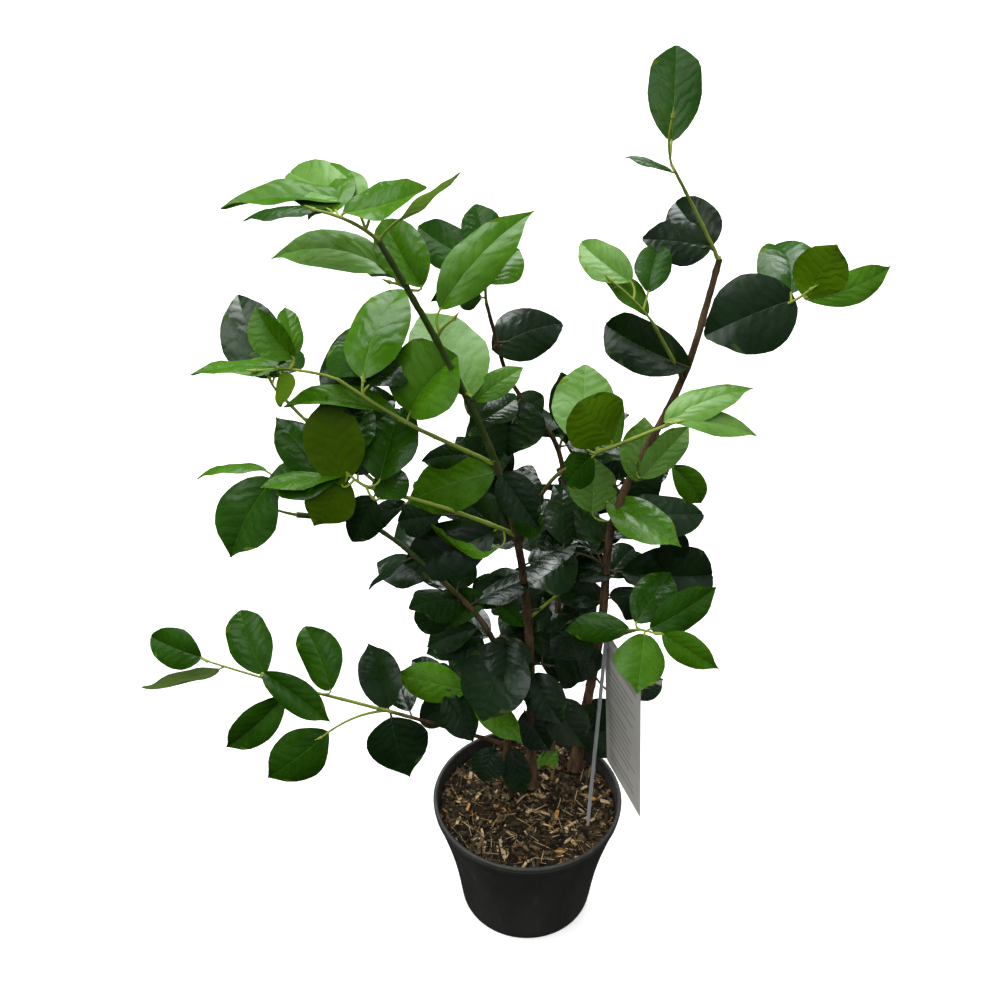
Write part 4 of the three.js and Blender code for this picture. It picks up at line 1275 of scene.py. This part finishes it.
def makeBedTree(patternCount):  # scatters chips on the bed, each turned, scaled and tinted by its own draw
    inputs = {
        "Bed": "Geometry", "Density": "Float", "Seed": "Int", "Tilt": "Float", "Smallest": "Float",
        "Largest": "Float", "Lift": "Float", "Wall": "Float",
        **{f"Pattern {k}": "Object" for k in range(patternCount)},
        **{f"Tint {k}": "Material" for k in range(len(mix["tints"]))},
    }
    tree, given, result = startTree("barkBed", "GeometryNodeTree", inputs, {"Chips": "Geometry"})
    dots = read(tree, "GeometryNodeDistributePointsOnFaces", {
        "Mesh": given["Bed"], "Density": given["Density"], "Seed": given["Seed"],
    }, "Points")
    joined = addNode(tree, "GeometryNodeGeometryToInstance")
    for k in range(patternCount):
        inputs = {"Object": given[f"Pattern {k}"]}
        plug(tree, read(tree, "GeometryNodeObjectInfo", inputs, "Geometry"), joined.inputs[0])

    def draw(low, high, salt, kind="FLOAT"):
        start, output = {"FLOAT": (2, 1), "INT": (4, 2)}[kind]
        inputs = {start: low, start + 1: high, "Seed": given["Seed"] * 13.0 + float(salt)}
        return read(tree, "FunctionNodeRandomValue", inputs, output, data_type=kind)

    turn = read(tree, "ShaderNodeCombineXYZ", {
        "X": draw(-1.0, 1.0, 1) * given["Tilt"], "Y": draw(-1.0, 1.0, 2) * given["Tilt"],
        "Z": draw(0.0, math.tau, 3),
    })
    span = given["Largest"] - given["Smallest"]
    copies = read(tree, "GeometryNodeInstanceOnPoints", {
        "Points": dots, "Instance": joined.outputs[0], "Pick Instance": True,
        "Instance Index": draw(0, patternCount - 1, 5, "INT"), "Rotation": turn,
        "Scale": draw(0.0, 1.0, 4).math("POWER", 1.8) * span + given["Smallest"],
    })
    tinted = read(tree, "GeometryNodeStoreNamedAttribute", {
        "Geometry": copies, "Name": "tint", "Value": draw(0.0, 1.0, 6),
    }, data_type="FLOAT", domain="INSTANCE")
    lift = read(tree, "ShaderNodeCombineXYZ", {"Z": draw(0.0, 1.0, 8) * given["Lift"]})
    raised = read(tree, "GeometryNodeTranslateInstances", {
        "Instances": tinted, "Translation": lift, "Local Space": False,
    })
    single = read(tree, "GeometryNodeRealizeInstances", {"Geometry": raised})
    flat = stretched(tree, read(tree, "GeometryNodeInputPosition"), (1, 1, 0))
    away = read(tree, "ShaderNodeVectorMath", {0: flat}, "Value", operation="LENGTH")
    # no chip reaches through the pot's wall
    inward = flat * ((given["Wall"] / away).math("MINIMUM", 1.0) - 1.0)
    geometry = read(tree, "GeometryNodeSetPosition", {"Geometry": single, "Offset": inward})
    floorShare = 0.0
    for k, share in enumerate(mix["shares"]):
        isAbove = named(tree, "tint").math("GREATER_THAN", floorShare)
        geometry = painted(tree, geometry, given[f"Tint {k}"], isAbove)
        floorShare += share
    plug(tree, geometry, result["Chips"])
    return tree


def makeMixBed(plan):  # gives the bed, and how many of its points and faces make its top
    low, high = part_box("potting_mix")
    radius = (high.x - low.x) / 2 - plan["rimGap"]
    rng = random.Random(plan["humpSeed"])
    humps = [(rng.uniform(-radius, radius), rng.uniform(-radius, radius), rng.uniform(*plan["humpSize"]),
              rng.uniform(-1, 1)) for _ in range(plan["humps"])]
    sides = plan["sides"]

    def level(x, y, share):
        swell = sum(height * math.exp(-((x - hx) ** 2 + (y - hy) ** 2) / size ** 2)
                    for hx, hy, size, height in humps)
        return high.z + plan["swell"] * max(plan["lowest"], min(1, swell)) - share ** 6 * plan["rimDrop"]

    points = [(0, 0, high.z)]
    rings = [[0] * sides]
    for ring in range(1, plan["rings"] + 1):
        rings.append(list(range(len(points), len(points) + sides)))
        share = ring / plan["rings"]
        for x, y in circle(sides):
            x, y = radius * share * x, radius * share * y
            points.append((x, y, level(x, y, share)))
    topPoints = len(points)
    topFaces = plan["rings"] * sides
    foot = high.z - plan["skirtDown"]  # a skirt and a floor close the bed into a solid
    points += [(x * plan["skirtIn"], y * plan["skirtIn"], foot) for x, y, _ in points[-sides:]]
    rings += [list(range(topPoints, topPoints + sides)), [len(points)] * sides]
    points.append((0, 0, foot))
    bed = makeMesh("mixBed", points, joinRings(rings, False))
    bed.data.shade_smooth()
    bed.data.materials.append(makePlainFinish(*mix["soil"]))
    return bed, topPoints, topFaces


def makeMix(plan):
    bed, topPoints, topFaces = makeMixBed(bedPlan)
    low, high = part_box("potting_mix")
    rng = random.Random(plan["patternSeed"])
    figures = {"Wall": (high.x - low.x) / 2 - plan["wallGap"]}
    for k, color in enumerate(plan["tints"]):
        patch = tuple(c * plan["tintPatch"] for c in color)
        figures[f"Tint {k}"] = makePlainFinish(f"barkTint{k}", color, patch, plan["tintGloss"],
                                               plan["tintScale"], plan["grain"])
    pieces = []
    for name, (count, ranges, fixed, scatter) in scatters.items():
        patterns = {}
        for k in range(count):
            drawn = {key: rng.uniform(*span) for key, span in ranges.items()}
            patterns[f"Pattern {k}"] = makeChipPattern(f"{name}{k}", rng, **drawn, **fixed)
        bedTop = makeMesh(name + "Bed", [v.co * 1.0 for v in bed.data.vertices][:topPoints],
                          [p.vertices[:] for p in bed.data.polygons][:topFaces])
        pieces.append(growWith(bedTop, makeBedTree(count), {**scatter, **figures, **patterns}, name))
        for pattern in patterns.values():
            bpy.data.objects.remove(pattern)
    for piece in (bed, *pieces):
        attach(piece, "root")
    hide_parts("potting_mix")
    print("mix triangles:", [sum(len(p.vertices) - 2 for p in piece.data.polygons) for piece in pieces])


makeMix(mix)
print("potting mix made")


# Label: its card keeps the solid's place, the stick likewise

label = {
    "heading": 289, "lean": 4, "rowPitch": 0.0078, "rowShare": 0.4, "margin": 0.11, "ink": (0.30, 0.29, 0.28),
    "header": (0.84, 0.93), "rows": (0.08, 0.79), "gapShare": 0.14, "shortest": 0.47, "spread": 0.42,
    "inkShare": 0.6,
}
labelFinishes = {  # node: (material, constants, ground, patch, figures of the mottle)
    "label_card": ("labelCard", {"Roughness": 0.42}, (0.72, 0.70, 0.65), (0.62, 0.60, 0.56), {
        "Scale": 9.0, "Amount": 0.7, "Grain": 0.1,
    }),
    "label_stick": ("labelStick", {"Roughness": 0.35, "Transmission Weight": 0.25}, (0.60, 0.62, 0.62),
                    (0.45, 0.47, 0.47), {
        "Scale": 30.0, "Stretch": (1, 1, 0.3), "Amount": 0.7, "Grain": 0.1,
    }),
}


def cardShare(tree, points, axis):  # how far across the card a point lies, from 0 to 1, and the card's size
    reach = points @ np.array(axis)
    inputs = {0: objectPlace(tree), 1: tuple(axis)}
    run = read(tree, "ShaderNodeVectorMath", inputs, "Value", operation="DOT_PRODUCT")
    size = float(reach.max() - reach.min())
    return (run - float(reach.min())) / size, size


def between(value, low, high):
    return value.math("GREATER_THAN", low) * value.math("LESS_THAN", high)


def printCard(tree, paper, plan):  # a plain band and rows of grey bars
    points = nodeTriangles("label_card").reshape(-1, 3)
    across, _ = cardShare(tree, points, direction(plan["heading"], 0))
    upward, height = cardShare(tree, points, direction(180, 90 - plan["lean"]))
    row = upward * (height / plan["rowPitch"])
    draw = read(tree, "ShaderNodeTexWhiteNoise", {"W": row.math("FLOOR")}, "Value", noise_dimensions="1D")
    isWritten = draw.math("GREATER_THAN", plan["gapShare"]) * between(upward, *plan["rows"])
    isBar = row.math("FRACT").math("LESS_THAN", plan["rowShare"])
    bars = isBar * isWritten * between(across, plan["margin"], draw * plan["spread"] + plan["shortest"])
    header = between(upward, *plan["header"]) * between(across, plan["margin"], 1 - plan["margin"])
    return blend(tree, (bars + header) * plan["inkShare"], paper, opaque(plan["ink"]))


def makeLabel(plan):  # a pale card and a milky stick
    for node, (name, constants, ground, patch, figures) in labelFinishes.items():
        material, tree, shader = startMaterial(name, constants)
        color = mottled(tree, ground, patch, **figures)["Color"]
        if node == "label_card":
            color = printCard(tree, color, plan)
        plug(tree, color, shader.inputs["Base Color"])
        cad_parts[node].data.materials.clear()
        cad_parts[node].data.materials.append(material)


makeLabel(label)
print("label made")
